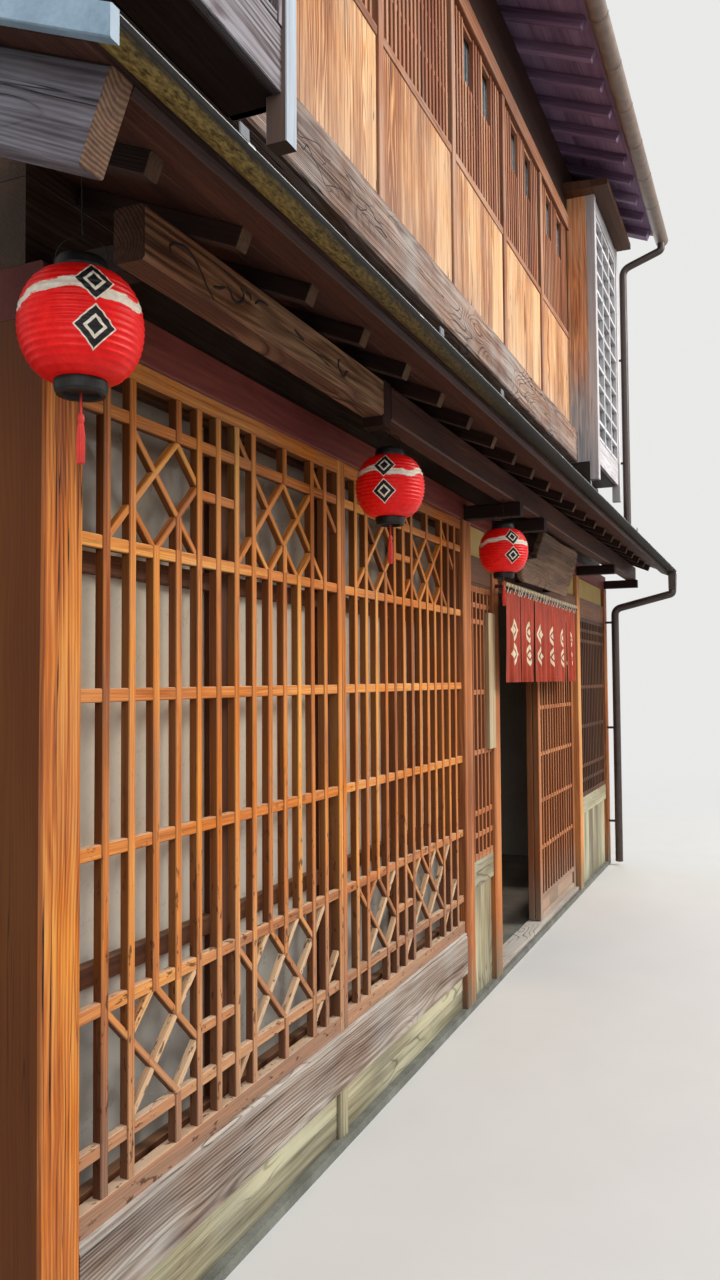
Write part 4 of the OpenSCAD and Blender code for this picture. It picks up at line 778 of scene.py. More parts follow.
def door_leaf(name, node, y0, seed):
    """A sliding lattice leaf with a kick panel."""
    gap, thick, stile = 0.006, 0.034, 0.058
    wide = (ENTRY_R - ENTRY_L + 0.060) / 2
    x0, x1 = ENTRY_R - gap - wide, ENTRY_R - gap
    low, high = FOOTING + THRESHOLD + gap, LINTEL + TRACK - gap
    bars, inner = low + 0.140, (x0 + stile, x1 - stile)
    t = Timbers(name, "door_wood", seed, 0.002, name)
    for x in (x0, inner[1]):
        t.block(run(x, stile), run(y0, thick), (low, high))
    for z, tall in ((low, RAIL), (bars - RAIL, RAIL), (high - stile, stile)):
        t.block((inner[0] - 0.002, inner[1] + 0.002), (y0 + 0.001, y0 + thick - 0.001), run(z, tall))
    t.boards(inner, about(y0 + thick / 2, 0.010), (low + RAIL, bars - RAIL), "x", 0.24, "x")
    t.bars(inner, 12, SLIM_BAR, (y0 + 0.003, y0 + 0.025), (bars - 0.001, high - stile))
    stage = (high - stile - bars) / 6
    t.rails(inner, (y0 + 0.006, y0 + 0.025), [bars + k * stage - 0.015 for k in range(1, 6)], 0.024)
    t.done(node, slot="door_wood")


door_leaf(OUTER, "door_outer", LATTICE + 0.026, 41)
door_leaf(INNER, "door_inner", LATTICE + 0.066, 42)

t = Timbers("sign_board", "sign_wood", 43, 0.002)
t.block((X_JAMB - JAMB / 2 - 0.112, X_JAMB - JAMB / 2), (LATTICE - 0.022, LATTICE),
        (LINTEL - 0.780, LINTEL - 0.120))
t.done("sign_boards", slot="sign_wood")

SLAB_W, SLAB_H, SLAB_T, LEAN = 1.200, 0.290, 0.034, math.radians(17.6)
SLAB = Vector((X_JAMB + 0.080, FACE - 0.068, LINTEL + 0.065))


def hanging_slab():
    """The slab of natural-edged timber that leans out over the entrance, its front hollowed by age."""
    corners = ((0.09, 0), (0.5, 0.02), (0.98, 0), (0.99, 0.4), (1, 0.75), (0.96, 0.95), (0.9, 1), (0.6, 0.97),
               (0.19, 1), (0.17, 0.75), (0.18, 0.5), (0.06, 0.42), (0, 0.26), (0.02, 0.1))
    up, out = Vector((0, -math.sin(LEAN), math.cos(LEAN))), Vector((0, -math.cos(LEAN), -math.sin(LEAN)))
    middle, dice = Vector((0.55, 0.5)), random.Random(45)
    sides = zip(corners, corners[1:] + corners[:1])
    outline = [Vector(a).lerp(Vector(b), k / 6) for a, b in sides for k in range(6)]
    rough = [dice.uniform(0.985, 1.0) for _ in outline]
    t = Timbers("hanging_slab", "slab_wood", 46)
    rings = ((0.0, 0.004), (0.45, 0.006), (0.86, 0.003), (0.97, 0.001), (0.99, 0.006), (0.992, 0.028),
             (0.985, 0.033), (0.0, 0.033))
    for shrink, depth in rings:
        for at, r in zip(outline, rough):
            across, high = middle + (at - middle) * shrink * r
            along = Vector((across * SLAB_W, 0, 0))
            t.points.append(SLAB + along + up * high * SLAB_H + out * (SLAB_T - depth))
            t.grain.append((high * SLAB_H + 0.05, depth, across * SLAB_W + 7.0))
    t.tone = [0.5] * len(t.points)
    t.faces = net(0, len(rings), len(outline))
    for j in range(len(rings) - 1):
        t.edge += [1.0 if j in (2, 3) else 0.0] * len(outline)
    t.done("sign_boards", slot="sign_wood")


hanging_slab()
t = Timbers("slab_brackets", "dark_wood", 47)
for f in (0.3, 0.85):
    t.block(run(SLAB.x + f * SLAB_W, 0.018), (FACE - 0.085, FACE + 0.010), run(LINTEL + 0.083, 0.018))
t.done("sign_boards", slot="sign_wood")

# Pent roof.
t = Timbers("pent_arms", "dark_wood", 51, 0.004)
for x in (grid(3), X_JAMB, X_DOOR_POST, X_R):
    t.block(about(x, 0.060), (PURLIN_Y - 0.020, FACE + 0.005), (HEAD + 0.004, PURLIN_Z))
t.block(about(X_L, 0.060), (PURLIN[1], FACE + 0.005), run(PURLIN_Z, 0.060))
t.block(run(STRUT, 0.060), PURLIN, (PURLIN_Z - 0.030, PURLIN_Z + PURLIN_H))
t.done("pent_arms", slot="dark_wood")

t = Timbers("pent_purlin", "purlin_wood", 55, 0.006)
t.block((OUT_L, STRUT), PURLIN, run(PURLIN_Z, PURLIN_H), steps=40, wobble=0.0005)
t.done("pent_purlin", slot="beam_wood")


def carving(name, at, strokes, broad):
    """Old scroll cuts on a timber's street face, each along a smooth stroke: dark tapered strips laid on
    the face, their dark colour painted shade standing in for the cut grooves.
    """
    s = Sheet(name, "groove_shade")
    for stroke in strokes:
        line = []
        for i in range(len(stroke) - 1):
            ends = (stroke[max(0, i - 1)], stroke[i], stroke[i + 1], stroke[min(len(stroke) - 1, i + 2)])
            for f in [k / 6 for k in range(6)]:
                line.append([0.5 * (2 * b + (c - a) * f + (2 * a - 5 * b + 4 * c - d) * f * f +
                                    (3 * b - a - 3 * c + d) * f ** 3) for a, b, c, d in zip(*ends)])
        line.append(stroke[-1])
        rows = []
        for i, (u, v) in enumerate(line):
            a, b = beside(line, i)
            half = (0.0006 + broad / 2 * math.sin(math.pi * (i + 0.5) / len(line)) ** 0.6) / math.dist(a, b)
            du, dv = (a[1] - b[1]) * half, (b[0] - a[0]) * half
            rows.append([(at[0] + u + du * f, at[1] - lift, at[2] + v + dv * f)
                         for f, lift in ((1, 0.0002), (0.6, 0.0020), (-0.6, 0.0020), (-1, 0.0002))])
        s.grid(rows, 0.2)
    s.done(slot="beam_wood")


HOOK = ((0.083, 0.044), (0.081, 0.058), (0.103, 0.070), (0.133, 0.076), (0.160, 0.069), (0.188, 0.051),
        (0.211, 0.028), (0.240, 0.008))
CURL = ((0.290, 0.056), (0.306, 0.051), (0.316, 0.038), (0.337, 0.036), (0.359, 0.050), (0.362, 0.066),
        (0.348, 0.074))
TICKS = (((0.370, 0.072), (0.389, 0.073), (0.396, 0.062)),
         ((0.412, 0.060), (0.432, 0.074), (0.455, 0.079), (0.474, 0.078)),
         ((0.236, 0.035), (0.262, 0.041), (0.284, 0.051)),
         ((0.606, 0.068), (0.632, 0.061), (0.660, 0.057)))
FAR_CURL = tuple((STRUT - OUT_L - u * 0.9, v) for u, v in CURL)
carving("purlin_carving", (OUT_L, PURLIN_Y, PURLIN_Z), (HOOK, CURL) + TICKS + (FAR_CURL,), 0.0068)
# Painted shade: the purlin's far stretch, in the pent roof's shade, is the same timber but takes the dark
# soffit wood.
t = Timbers("pent_purlin_far_shaded", "soffit_wood", 56, 0.005)
t.block((STRUT + 0.060, OUT_R), PURLIN, run(PURLIN_Z, PURLIN_H), steps=40, wobble=0.0012)
t.done()


def on_pent(x, y, lift):
    """A point that far above the pent roof's underside."""
    return (x, y, pent_under(y) + lift)


def raking(t, x, y0, y1, lift, wide, deep, **options):
    """A timber that follows the pent roof's slope, with its upright depth given."""
    t.stick(on_pent(x, y0, lift), on_pent(x, y1, lift), wide, deep * COS, (1, 0, 0), **options)


def layer(t, x, y, lift, thick, broad, **options):
    """A board along the pent roof, flat on its slope."""
    t.stick(on_pent(x[0], y, lift), on_pent(x[1], y, lift), thick * COS, broad, (0, -SLOPE, 1), **options)


RAFTER_STEP = HALF_KEN / 3
RAFTERS = [X_L - 0.195 + k * RAFTER_STEP for k in range(23)]
t = Timbers("pent_rafters", "rafter_wood", 57)
for x in RAFTERS:
    raking(t, x, PENT_TIP_Y + 0.010, UPPER - 0.009, 0.0225, 0.038, 0.045)
t.done(slot="soffit_wood")
t = Timbers("pent_tips", "rafter_tip_wood", 157)
for x in RAFTERS:
    raking(t, x, PENT_TIP_Y + 0.008, PENT_TIP_Y + 0.0099, 0.0225, 0.0375, 0.0445)
t.done(slot="soffit_wood")
t = Timbers("pent_boards", "soffit_wood", 58)
wide = (UPPER - PENT_EDGE) / 6
for k in range(6):
    layer(t, (PENT_L, OUT_R), PENT_EDGE + (k + 0.5) * wide, 0.053, 0.016, wide / COS - 0.0012, chamfer=0.001)
layer(t, (PENT_L + 0.100, OUT_R), PENT_EDGE + 0.031, 0.035, 0.020, 0.062 / COS)
t.done("pent_deck", slot="soffit_wood")

t = Timbers("spandrel_wall", "wall_wood", 59)
t.boards(FRONT, (UPPER, POST_BACK), (HEAD_TOP, BEAM), "z", 0.18, "x")
t.done("spandrel_wall", slot="wall_wood")

VERGE = PENT_L + 0.075
t = Timbers("pent_verge", "verge_wood", 60, 0.004)
raking(t, VERGE, PENT_TIP_Y - 0.111, UPPER - 0.034, -0.030, 0.050, 0.150, steps=12, wobble=0.0006)
t.done(slot="verge_wood")
t = Timbers("pent_verge_tip", "verge_end_wood", 61, 0.003)
raking(t, VERGE, PENT_TIP_Y - 0.113, PENT_TIP_Y - 0.1112, -0.030, 0.0495, 0.149)
t.done(slot="verge_wood")

# Upper storey.
t = Timbers("upper_floor", "floor_wood", 61)
t.boards(INSIDE, (POST_BACK, REAR[0]), (HEAD_TOP + 0.090, HEAD_TOP + 0.150), "y", 0.25, "x")
t.done("upper_floor", slot="floor_wood")

t = Timbers("upper_beam", "beam_wood", 62, 0.008)
t.block(MIDDLE, WALL, (BEAM, BEAM_TOP), steps=60, wobble=0.002)
t.done("upper_beam", slot="beam_wood")
BEAM_STROKES = (
    ((0.289, 0.150), (0.299, 0.108), (0.363, 0.128), (0.442, 0.149), (0.473, 0.132), (0.543, 0.139),
     (0.576, 0.130), (0.652, 0.152), (0.701, 0.142), (0.737, 0.124), (0.811, 0.132), (0.873, 0.130),
     (0.920, 0.115), (0.986, 0.128)),
    ((0.299, 0.087), (0.333, 0.078), (0.357, 0.106), (0.392, 0.091), (0.441, 0.072), (0.478, 0.045),
     (0.516, 0.032), (0.542, 0.050)),
    ((0.462, 0.123), (0.491, 0.115), (0.466, 0.098)),
    ((0.490, 0.040), (0.542, 0.062), (0.596, 0.078), (0.623, 0.068)),
    ((0.651, 0.140), (0.679, 0.129), (0.707, 0.110)),
    ((0.743, 0.094), (0.765, 0.085), (0.826, 0.112), (0.811, 0.124)),
    ((0.905, 0.088), (0.960, 0.100), (1.020, 0.094)))
carving("beam_carving", (MIDDLE[0], FACE, BEAM), BEAM_STROKES, 0.0052)

t = Timbers("upper_boards", "board_wood", 63, 0.0012)
t.block((MIDDLE[0], grid(1) - UPPER_POST / 2), run(UPPER, 0.022), (BEAM_TOP, TOP_RAIL), "z")
for bay in BAYS:
    t.boards(bay, run(UPPER, 0.022), (BEAM_TOP, MID_RAIL), "x", 0.215, "z")
t.done("upper_boards", slot="upper_wood")

t = Timbers("upper_frame", "frame_wood", 64, 0.003)
for k in range(1, 7):
    front = UPPER if k == 6 else UPPER - 0.012
    t.block(about(grid(k), UPPER_POST), (front, POST_BACK), (BEAM_TOP, TOP_RAIL), steps=6, wobble=0.0005)
for bay in BAYS:
    t.block(bay, (UPPER - 0.006, UPPER + 0.040), (MID_RAIL, UPPER_LATTICE))
t.block(MIDDLE, (UPPER - 0.018, POST_BACK), (TOP_RAIL, TOP_RAIL_TOP), steps=12, wobble=0.0008)
for x in (OUT_L, OUT_R - POST):
    t.block(run(x, POST), (UPPER, POST_BACK), (BEAM, TOP_RAIL_TOP))
t.done("upper_frame", slot="upper_wood")

t = Timbers("upper_lattice", "fine_wood", 65, 0.0012)
for i, bay in enumerate(BAYS):
    short = (5, 6, 7, 12, 13, 14) if i >= 2 else ()
    t.bars(bay, 18, 0.022, (UPPER + 0.004, UPPER + 0.026), (UPPER_LATTICE, TOP_RAIL), short, 0.300)
    heights = [UPPER_LATTICE + f * 0.760 for f in (0, 0.3, 0.58, 0.97)]
    t.rails(bay, (UPPER + 0.010, UPPER + 0.032), heights, 0.0228)
t.done("upper_lattice", slot="upper_lattice_wood")


def oriel(i, x, post, front, seed):
    """One box: its posts, boarded front, sides, floor and lattice."""
    inner, (low, high) = (x[0] + BOX_POST, x[1] - BOX_POST), BOX_OPENING
    t = Timbers(f"box_posts_{i}", post, 200 + seed, 0.003)
    for left in (x[0], inner[1]):
        t.block(run(left, BOX_POST), run(BOX_Y, BOX_POST), (BEAM - 0.130, BOX_TOP), steps=8, wobble=0.0006)
    t.done("box_frames", slot="box_wood")
    t = Timbers(f"box_front_{i}", front, seed, 0.003)
    t.boards(inner, (BOX_Y + 0.014, BOX_Y + 0.040), (BEAM, low), "z", 0.4, "x")
    t.block(inner, (BOX_Y + 0.007, BOX_Y + BOX_POST), (high, BOX_TOP))
    t.done("box_frames", slot="box_wood")
    t = Timbers(f"box_side_{i}", "box_wood", 100 + seed, 0.002)
    for left in (x[0], x[1] - BOX_WALL):
        t.block(run(left, BOX_WALL), (BOX_Y + BOX_POST, UPPER), (BEAM, BOX_TOP), "z", steps=6, wobble=0.0005)
    t.done("box_frames", slot="box_wood")
    t = Timbers(f"box_floor_{i}", "rafter_wood", 300 + seed, 0.002)
    t.boards((x[0] + 0.002, x[1] - 0.002), (BOX_Y + 0.041, UPPER), run(BEAM, BOX_WALL), "y", 0.12, "x")
    t.done("box_frames", slot="box_wood")
    t = Timbers(f"box_lattice_{i}", front, 1 + seed, 0.0015)
    for k in range(4):
        left = inner[0] + k * (inner[1] - inner[0] - BAR) / 3
        t.block(run(left, BAR), (BOX_Y + 0.010, BOX_Y + 0.040), BOX_OPENING)
    stage = (high - low) / 12
    t.rails(inner, (BOX_Y + 0.013, BOX_Y + 0.037),
            [low + 0.003, high - 0.027] + [low + k * stage - 0.012 for k in range(1, 12)], 0.024)
    t.done("box_lattices", slot="box_wood")


oriel(0, BOXES[0], "bleached_post_wood", "weathered_box_wood", 66)
oriel(1, BOXES[1], "bleached_box_wood", "bleached_box_wood", 166)

BOX_EAVE, BOX_ROOF = 0.110, 0.310
t = Timbers("box_roofs", "lintel_wood", 68, 0.003)
for x in ((BOXES[0][0], BOXES[0][1] + BOX_EAVE), (BOXES[1][0] - BOX_EAVE, BOXES[1][1])):
    for k in range(5):
        at = k * BOX_ROOF / 5
        t.block(x, run(BOX_Y - BOX_EAVE + at, BOX_ROOF / 5 - 0.001), run(BOX_TOP, 0.046 + 0.1 * at), "x")
t.done("box_roofs", slot="box_wood")

# Shell.
t = Timbers("left_wall", "wall_wood", 71, 0.0015)
n = round((BACK - POST_BACK) / 0.21)
cuts = [POST_BACK + i * (BACK - POST_BACK) / n for i in range(n + 1)]
for a, b in zip(cuts, cuts[1:]):
    t.block((OUT_L + WALL_OUT, OUT_L + WALL_IN), (a + 0.0008, b - 0.0008),
            (FOOTING, roof_under(-max(abs(a), abs(b)))), "z", steps=2)
t.done("left_wall", slot="wall_wood")

t = Timbers("rear_wall", "wall_wood", 72, 0.0015)
cuts = sorted(INSIDE + REAR_LOWER[0] + REAR_LOWER[1])
for x in zip(cuts, cuts[1:]):
    between = ((FOOTING, REAR_LOW[0]), (REAR_LOW[1], REAR_HIGH[0]))
    for z in between if x in REAR_LOWER else ((FOOTING, REAR_HIGH[0]),):
        t.boards(x, REAR, z, "x", 0.21, "z")
cuts = sorted(sum(BAYS, INSIDE))
for x in zip(cuts[::2], cuts[1::2]):
    t.boards(x, REAR, REAR_HIGH, "x", 0.21, "z")
t.boards(INSIDE, REAR, (TOP_RAIL, TOP_RAIL_TOP), "z", 0.1, "x")
t.done("rear_wall", slot="wall_wood")

REAR_BAR = 0.030
t = Timbers("rear_lattices", "fine_wood", 73, 0.002)
y = REAR[1] - 0.040
for windows, z, bars, rails in ((REAR_LOWER, REAR_LOW, 14, 4), (BAYS, REAR_HIGH, 9, 3)):
    heights = [z[0] + k * (z[1] - z[0] - RAIL) / (rails - 1) for k in range(rails)]
    for x in windows:
        t.bars(x, bars, REAR_BAR, run(y, REAR_BAR), z)
        t.rails(x, (y + 0.004, y + 0.026), heights, RAIL)
t.done("rear_lattices", slot="upper_lattice_wood")

# Roofs.
TILE_W, TILE_H, TILE_LAP = 0.265, 0.235, 0.030
PAN = [0.016 + 0.015 * math.cos(2 * math.pi * (k / 8 - 0.82)) + 0.003 * math.cos(4 * math.pi * (k / 8 - 0.8))
       for k in range(9)]


def pantiles(name, x, place, length, seed, lip, *replaces):
    """Courses of pan tiles. place gives the point that far along, up the slope from the eave and above it."""
    dice = random.Random(seed)
    s = Sheet(name, "roof_tile")
    across, courses = round((x[1] - x[0]) / TILE_W), round(length / TILE_H)
    wide, tall = (x[1] - x[0]) / across, length / courses
    for j in range(courses):
        low, high = j * tall, min(length, (j + 1) * tall + TILE_LAP)
        depth = 0.014 if j else lip
        for i in range(across):
            tone, tip = dice.random(), dice.uniform(-0.0015, 0.0015)
            lines = ((low + 0.04, 0.012 - depth * 0.6), (low, 0.016 - depth + tip), (low, 0.016 + tip),
                     (low + 0.006, 0.021 + tip), (high, 0.004))
            s.grid([[place(x[0] + (i + k / 8) * wide, up, h + lift) for k, h in enumerate(PAN)]
                    for up, lift in lines], tone)
    s.done(*replaces, slot="roof_tile")


def front_slope(x, up, lift):
    y = EDGE_Y + up * COS
    return (x, y, roof_under(y) + ROOF_T + lift)


def rear_slope(x, up, lift):
    px, py, pz = front_slope(x, up, lift)
    return (-px, -py, pz)


def pent_slope(x, up, lift):
    return on_pent(x, PENT_EDGE + up * COS, 0.061 + lift * 0.62)


RUN = (-0.015 - EDGE_Y) / COS
pantiles("main_tiles_front", (VERGE_L, ROOF_R), front_slope, RUN, 81, 0.040, "main_roof")
pantiles("main_tiles_rear", (-ROOF_R, -VERGE_L), rear_slope, RUN, 82, 0.034)
pantiles("pent_tiles", (PENT_L, OUT_R), pent_slope, (UPPER - PENT_EDGE) / COS, 83, 0.034, "pent_roof")

DECK_LOW, DECK_TOP, DECK_BOARDS = TIP_Y - 0.020, -0.015, 22
t = Timbers("main_deck_boards", "eaves_wood", 84)
wide = (DECK_TOP - DECK_LOW) / DECK_BOARDS
for way in (1, -1):
    for k in range(DECK_BOARDS):
        y = DECK_LOW + (k + 0.5) * wide
        z = roof_under(y) + 0.074
        t.stick((ROOF_L, way * y, z), (ROOF_R, way * y, z), 0.0145, wide * 1.085 - 0.0012,
                (0, -SLOPE * way, 1), chamfer=0.001)
t.done("main_deck", slot="soffit_wood")

RAFTER_W, WALL_RAFTER_W, RAFTER_H = 0.048, 0.090, 0.066
t = Timbers("main_rafters", "eaves_wood", 85, 0.003)
clear = INSIDE[1] - INSIDE[0]
n = round(clear / RAFTER_STEP) - 1
step = (clear - n * RAFTER_W) / (n + 1) + RAFTER_W
spots = [(OUT_L + 0.060, WALL_RAFTER_W), (OUT_R - 0.060, WALL_RAFTER_W), (ROOF_L + RAFTER_W / 2, RAFTER_W)]
spots += [(INSIDE[0] + k * step - RAFTER_W / 2, RAFTER_W) for k in range(1, n + 1)]
for way in (1, -1):
    for x, wide in spots:
        ends = [(x, way * y, roof_under(y) + RAFTER_H / 2) for y in (TIP_Y + 0.014, -0.026)]
        t.stick(*ends, wide, RAFTER_H * COS, (1, 0, 0))
t.done(slot="soffit_wood")

t = Timbers("wall_plates", "dark_wood", 86, 0.004)
t.block(FRONT, (UPPER, POST_BACK), (TOP_RAIL_TOP, roof_under(UPPER)))
t.block(INSIDE, REAR, (TOP_RAIL_TOP, roof_under(-REAR[1])))
t.done("wall_plates", slot="dark_wood")


def ridge():
    """Three stepped courses of flat tiles, a half round cap and a plate at each end."""
    s, dice = Sheet("ridge_tiles", "roof_tile"), random.Random(88)
    long, crown = ROOF_R - VERGE_L, roof_under(0) + ROOF_T + 0.062
    foot, top = crown - SLOPE * 0.115, crown + 0.086
    for low, high, half in ((foot - 0.004, crown + 0.022, 0.113), (crown + 0.022, crown + 0.054, 0.104),
                            (crown + 0.054, top, 0.095)):
        right = [(half - 0.006, high - 0.001), (half + 0.002, high - 0.006), (half, low)]
        ring = [(-y, z) for y, z in right[::-1]] + right
        cell = long / round(long / 0.28)
        for i in range(round(long / 0.28)):
            sweep(s, ring, VERGE_L + i * cell + 0.0015, VERGE_L + (i + 1) * cell - 0.0015, tone=dice.random())
    cell = long / round(long / 0.30)
    for i in range(round(long / 0.30)):
        a, b = VERGE_L + i * cell, VERGE_L + (i + 1) * cell
        s.grid([[(x, *p) for p in arc(0, top, r, 0, math.pi, 14)] for x, r in (
            (a, 0.086), (a + 0.030, 0.090), (a + 0.032, 0.083), (b + 0.001, 0.083))], dice.random())
    rim = [(0.100 * math.cos(math.pi * k / 16), crown + 0.080 + 0.094 * math.sin(math.pi * k / 16))
           for k in range(17)]
    for x, way in ((VERGE_L + 0.002, -1), (ROOF_R - 0.002, 1)):
        s.face([(x, *p) for p in rim[::way]] + [(x, -0.110 * way, foot), (x, 0.110 * way, foot)], 0.3)
    s.done("ridge", slot="roof_tile")


ridge()

# Gutters, pipes and ties.
PENT_GUTTER_Y, PENT_GUTTER_Z = PENT_EDGE - 0.027, pent_under(PENT_EDGE) + 0.0695
s = Sheet("pent_gutter", "gutter_metal")
bowl = arc(PENT_GUTTER_Y, PENT_GUTTER_Z, 0.0257)
section = ribbon(bowl + [(PENT_EDGE - 0.0016, PENT_GUTTER_Z + 0.0125)], 0.0022)
# tone runs from 0 at the gutter's outer rim to 1 low on the bowl and on its inner face; the black near the
# rim is partly painted shade.
heights = [1.0 if y > PENT_GUTTER_Y else min(1.0, max(0.0, (PENT_GUTTER_Z - z) / 0.027)) for y, z in section]
sweep(s, section, PENT_L + 0.001, OUT_R, 120, heights, 0.0008)
section = arc(PENT_GUTTER_Y, PENT_GUTTER_Z - 0.001, 0.0252, steps=14)
for x in (PENT_L + 0.002, OUT_R - 0.002):
    plate(s, section, x, 0.0008, tone=[(PENT_GUTTER_Z - z) / 0.027 for y, z in section])
s.done("pent_gutter", slot="gutter_metal")

# Painted highlight: a white tube along the pent gutter's rim stands for the bright line of light on it; the
# straps take the same white.
s = Sheet("pent_gutter_rim", "rim_highlight_white")
places = [PENT_L + 0.001 + (OUT_R - PENT_L - 0.002) * k / 60 for k in range(61)]
y, z = PENT_GUTTER_Y - 0.0248, PENT_GUTTER_Z - 0.0022
tube(s, [(x, y, z + 0.0004 * math.sin(9.0 * x)) for x in places], 0.0020, 8)
y, z = PENT_GUTTER_Y - 0.0262, PENT_GUTTER_Z
line = [(y, z - 0.004), (y, z), (PENT_EDGE - 0.002, z + 0.012), (PENT_EDGE + 0.002, z + 0.024)]
strap = ribbon(line, 0.0016)
for k in range(9):
    plate(s, strap, PENT_L + 0.340 + k * 0.800, 0.012)
s.done("pent_gutter", slot="gutter_metal")

s = Sheet("gutter_hangers", "old_zinc")
y, z = PENT_EDGE - 0.004, PENT_GUTTER_Z + 0.008
line = [(y - 0.020, z - 0.002), (y, z + 0.004), (y + 0.004, z + 0.030), (y + 0.006, z + 0.074)]
for hanger in (-0.140, 0.902, 1.513, 3.110, 4.710):
    plate(s, ribbon(line, 0.003), X_L + hanger, 0.015)
s.done("pent_gutter", slot="gutter_metal")

CAP_FOOT, CAP_IN, CAP_OUT = PENT_GUTTER_Y - 0.027, PENT_L - 0.0004, PENT_L - 0.0190
section = ((CAP_IN, 0.047), (CAP_OUT + 0.002, 0.047), (CAP_OUT, 0.049), (CAP_OUT, 0.092),
           (CAP_OUT + 0.003, 0.0945), (CAP_IN, 0.0945))
s = Sheet("verge_cap", "verge_cap_metal")
long = (UPPER - CAP_FOOT) / 3
for k in range(3):
    near, tone = CAP_FOOT + k * long, 0.3 + 0.2 * k
    rows = [[on_pent(x, y, lift) for x, lift in section] for y in (near, near + long - 0.0006)]
    s.grid(rows, tone, closed=True)
    s.face(rows[0], tone)
    s.face(rows[1][::-1], tone)
s.done("pent_verge", slot="verge_wood")

GUTTER_Y, GUTTER_Z = EDGE_Y - 0.013, roof_under(EDGE_Y) + ROOF_T - 0.044
s = Sheet("main_gutter", "eave_gutter_metal")
bowl = arc(GUTTER_Y, GUTTER_Z, 0.0505, steps=14)
curl = [(bowl[0][0] + 0.006, bowl[0][1] - 0.004), (bowl[0][0] + 0.005, bowl[0][1] + 0.0015)]
sweep(s, ribbon(curl + bowl, 0.002), VERGE_L, ROOF_R, 60, sag=0.001)
for x in (VERGE_L + 0.001, ROOF_R - 0.001):
    plate(s, arc(GUTTER_Y, GUTTER_Z, 0.050, steps=12), x, 0.0008)
strap = arc(GUTTER_Y, GUTTER_Z, 0.0525, steps=10)
strap += [(GUTTER_Y + 0.0525, GUTTER_Z + 0.010), (GUTTER_Y + 0.052, roof_under(GUTTER_Y + 0.052) + 0.080)]
for k in range(2 * int((ROOF_R - ROOF_L) / HALF_KEN) + 1):
    plate(s, ribbon(strap, 0.0025), ROOF_L + 0.015 + k * HALF_KEN / 2, 0.004)
s.done("main_gutter", slot="gutter_metal")

s = Sheet("slab_ties", "black_iron")
for f in (0.24, 0.86):
    top = SLAB + Vector((f * SLAB_W, -0.270 * math.sin(LEAN), 0.270 * math.cos(LEAN)))
    tube(s, [top, (top.x, FACE - 0.060, top.z + 0.020), (top.x, FACE + 0.004, HEAD + 0.020)], 0.0014, 8)
s.done(slot="pipe_metal")

PIPE, DROP_BACK = 0.0295, 0.110


def clips(sheet, x, y, wall, heights):
    """Collars round an upright pipe, each with a plate back to the wall."""
    for z in heights:
        collar(sheet, (x, y, z), (0, 0, 1), PIPE + 0.004, 0.030)
        low, high, near = z - 0.009, z + 0.009, y + 0.020
        plate(sheet, [(near, low), (wall, low), (wall, high), (near, high)], x, 0.003)


def hopper(sheet, x, y, z):
    """The box under the pent gutter, its two cheeks cut round the gutter's bowl."""
    rows = []
    for up, half, front, back in ((0.0, 0.034, 0.024, 0.024), (0.006, 0.038, 0.027, 0.0262),
                                  (0.118, 0.0445, 0.0305, 0.0266), (0.122, 0.0448, 0.0308, 0.0266)):
        corners = ((-half, -front), (half, -front), (half, back), (-half, back))
        rows.append([(x + across, y + out, z + up) for across, out in corners])
    sheet.grid(rows, 0.3, closed=True)
    sheet.face(rows[0][::-1], 0.3)
    cheek = arc(y, PENT_GUTTER_Z, 0.0273, math.pi * 1.17, math.pi * 1.83, 10)
    cheek = [(y - 0.0305, z + 0.120)] + cheek + [(y + 0.0266, z + 0.120)]
    for side in (-0.0440, 0.0440):
        plate(sheet, cheek[::-1], x + side, 0.0006, tone=0.3)


s = Sheet("downpipes", "pipe_metal")
x, y, box = X_R - POST / 2 + 0.045, FACE - 0.030 - 0.048, PENT_GUTTER_Z - 0.160
bend = box - 0.030
tube(s, rounded([(x, PENT_GUTTER_Y, box + 0.020), (x, PENT_GUTTER_Y, bend), (x, y, bend - DROP_BACK),
                 (x, y, FOOTING)], 0.050), PIPE)
hopper(s, x, PENT_GUTTER_Y, box)
clips(s, x, y, FACE, (1.95, 1.10, 0.35))
x, y, bend = OUT_R - 0.045, BOX_Y - 0.036, GUTTER_Z - 0.104
elbow, heel = Vector((x, GUTTER_Y, bend)), Vector((x, y, bend - DROP_BACK))
tube(s, rounded([(x, GUTTER_Y, GUTTER_Z - 0.048), elbow, heel, (x, y, pent_under(y) + 0.109)], 0.060), PIPE)
clips(s, x, y, UPPER, (4.10, 3.25))
for f in (0.15, 0.85):
    collar(s, elbow.lerp(heel, f), heel - elbow, PIPE + 0.005, 0.034)
s.done("downpipes", slot="pipe_metal")


# Glass.
def glazing(name, tint, blind, rough, shades=()):
    """Old glass with what stands just behind it, seen softly: a pale blind, and a dark room as painted shade.
    A shade is two heights, how much it shows at each, and its colour."""
    s = Shader(name)
    place = s.place()
    behind = s.noise(place, (1.4, 1.4, 0.6)) * 0.7 + s.noise(place, (9, 9, 0.7)) * 0.3
    dust = s.noise(place, 26.0, 5.0, 0.7)
    colour = s.mix(s.span(dust, 0.45, 0.8, 0.0, 0.2), s.ramp(behind, 0.38, 0.62, tint, blind),
                   linear(blind, 1.15, 10))
    for low, high, at_low, at_high, shade in shades:
        colour = s.mix(s.span(s.split(place)[2], low, high, at_low, at_high), colour, shade)
    s.finish(colour, s.span(dust, 0.3, 0.8, rough, rough + 0.2), s.noise(place, (7, 7, 4), 2.0), 0.0015,
             IOR=1.5, Coat_Weight=0.35, Coat_Roughness=0.08)


BLIND_TOP = RAIL_5 + RAIL
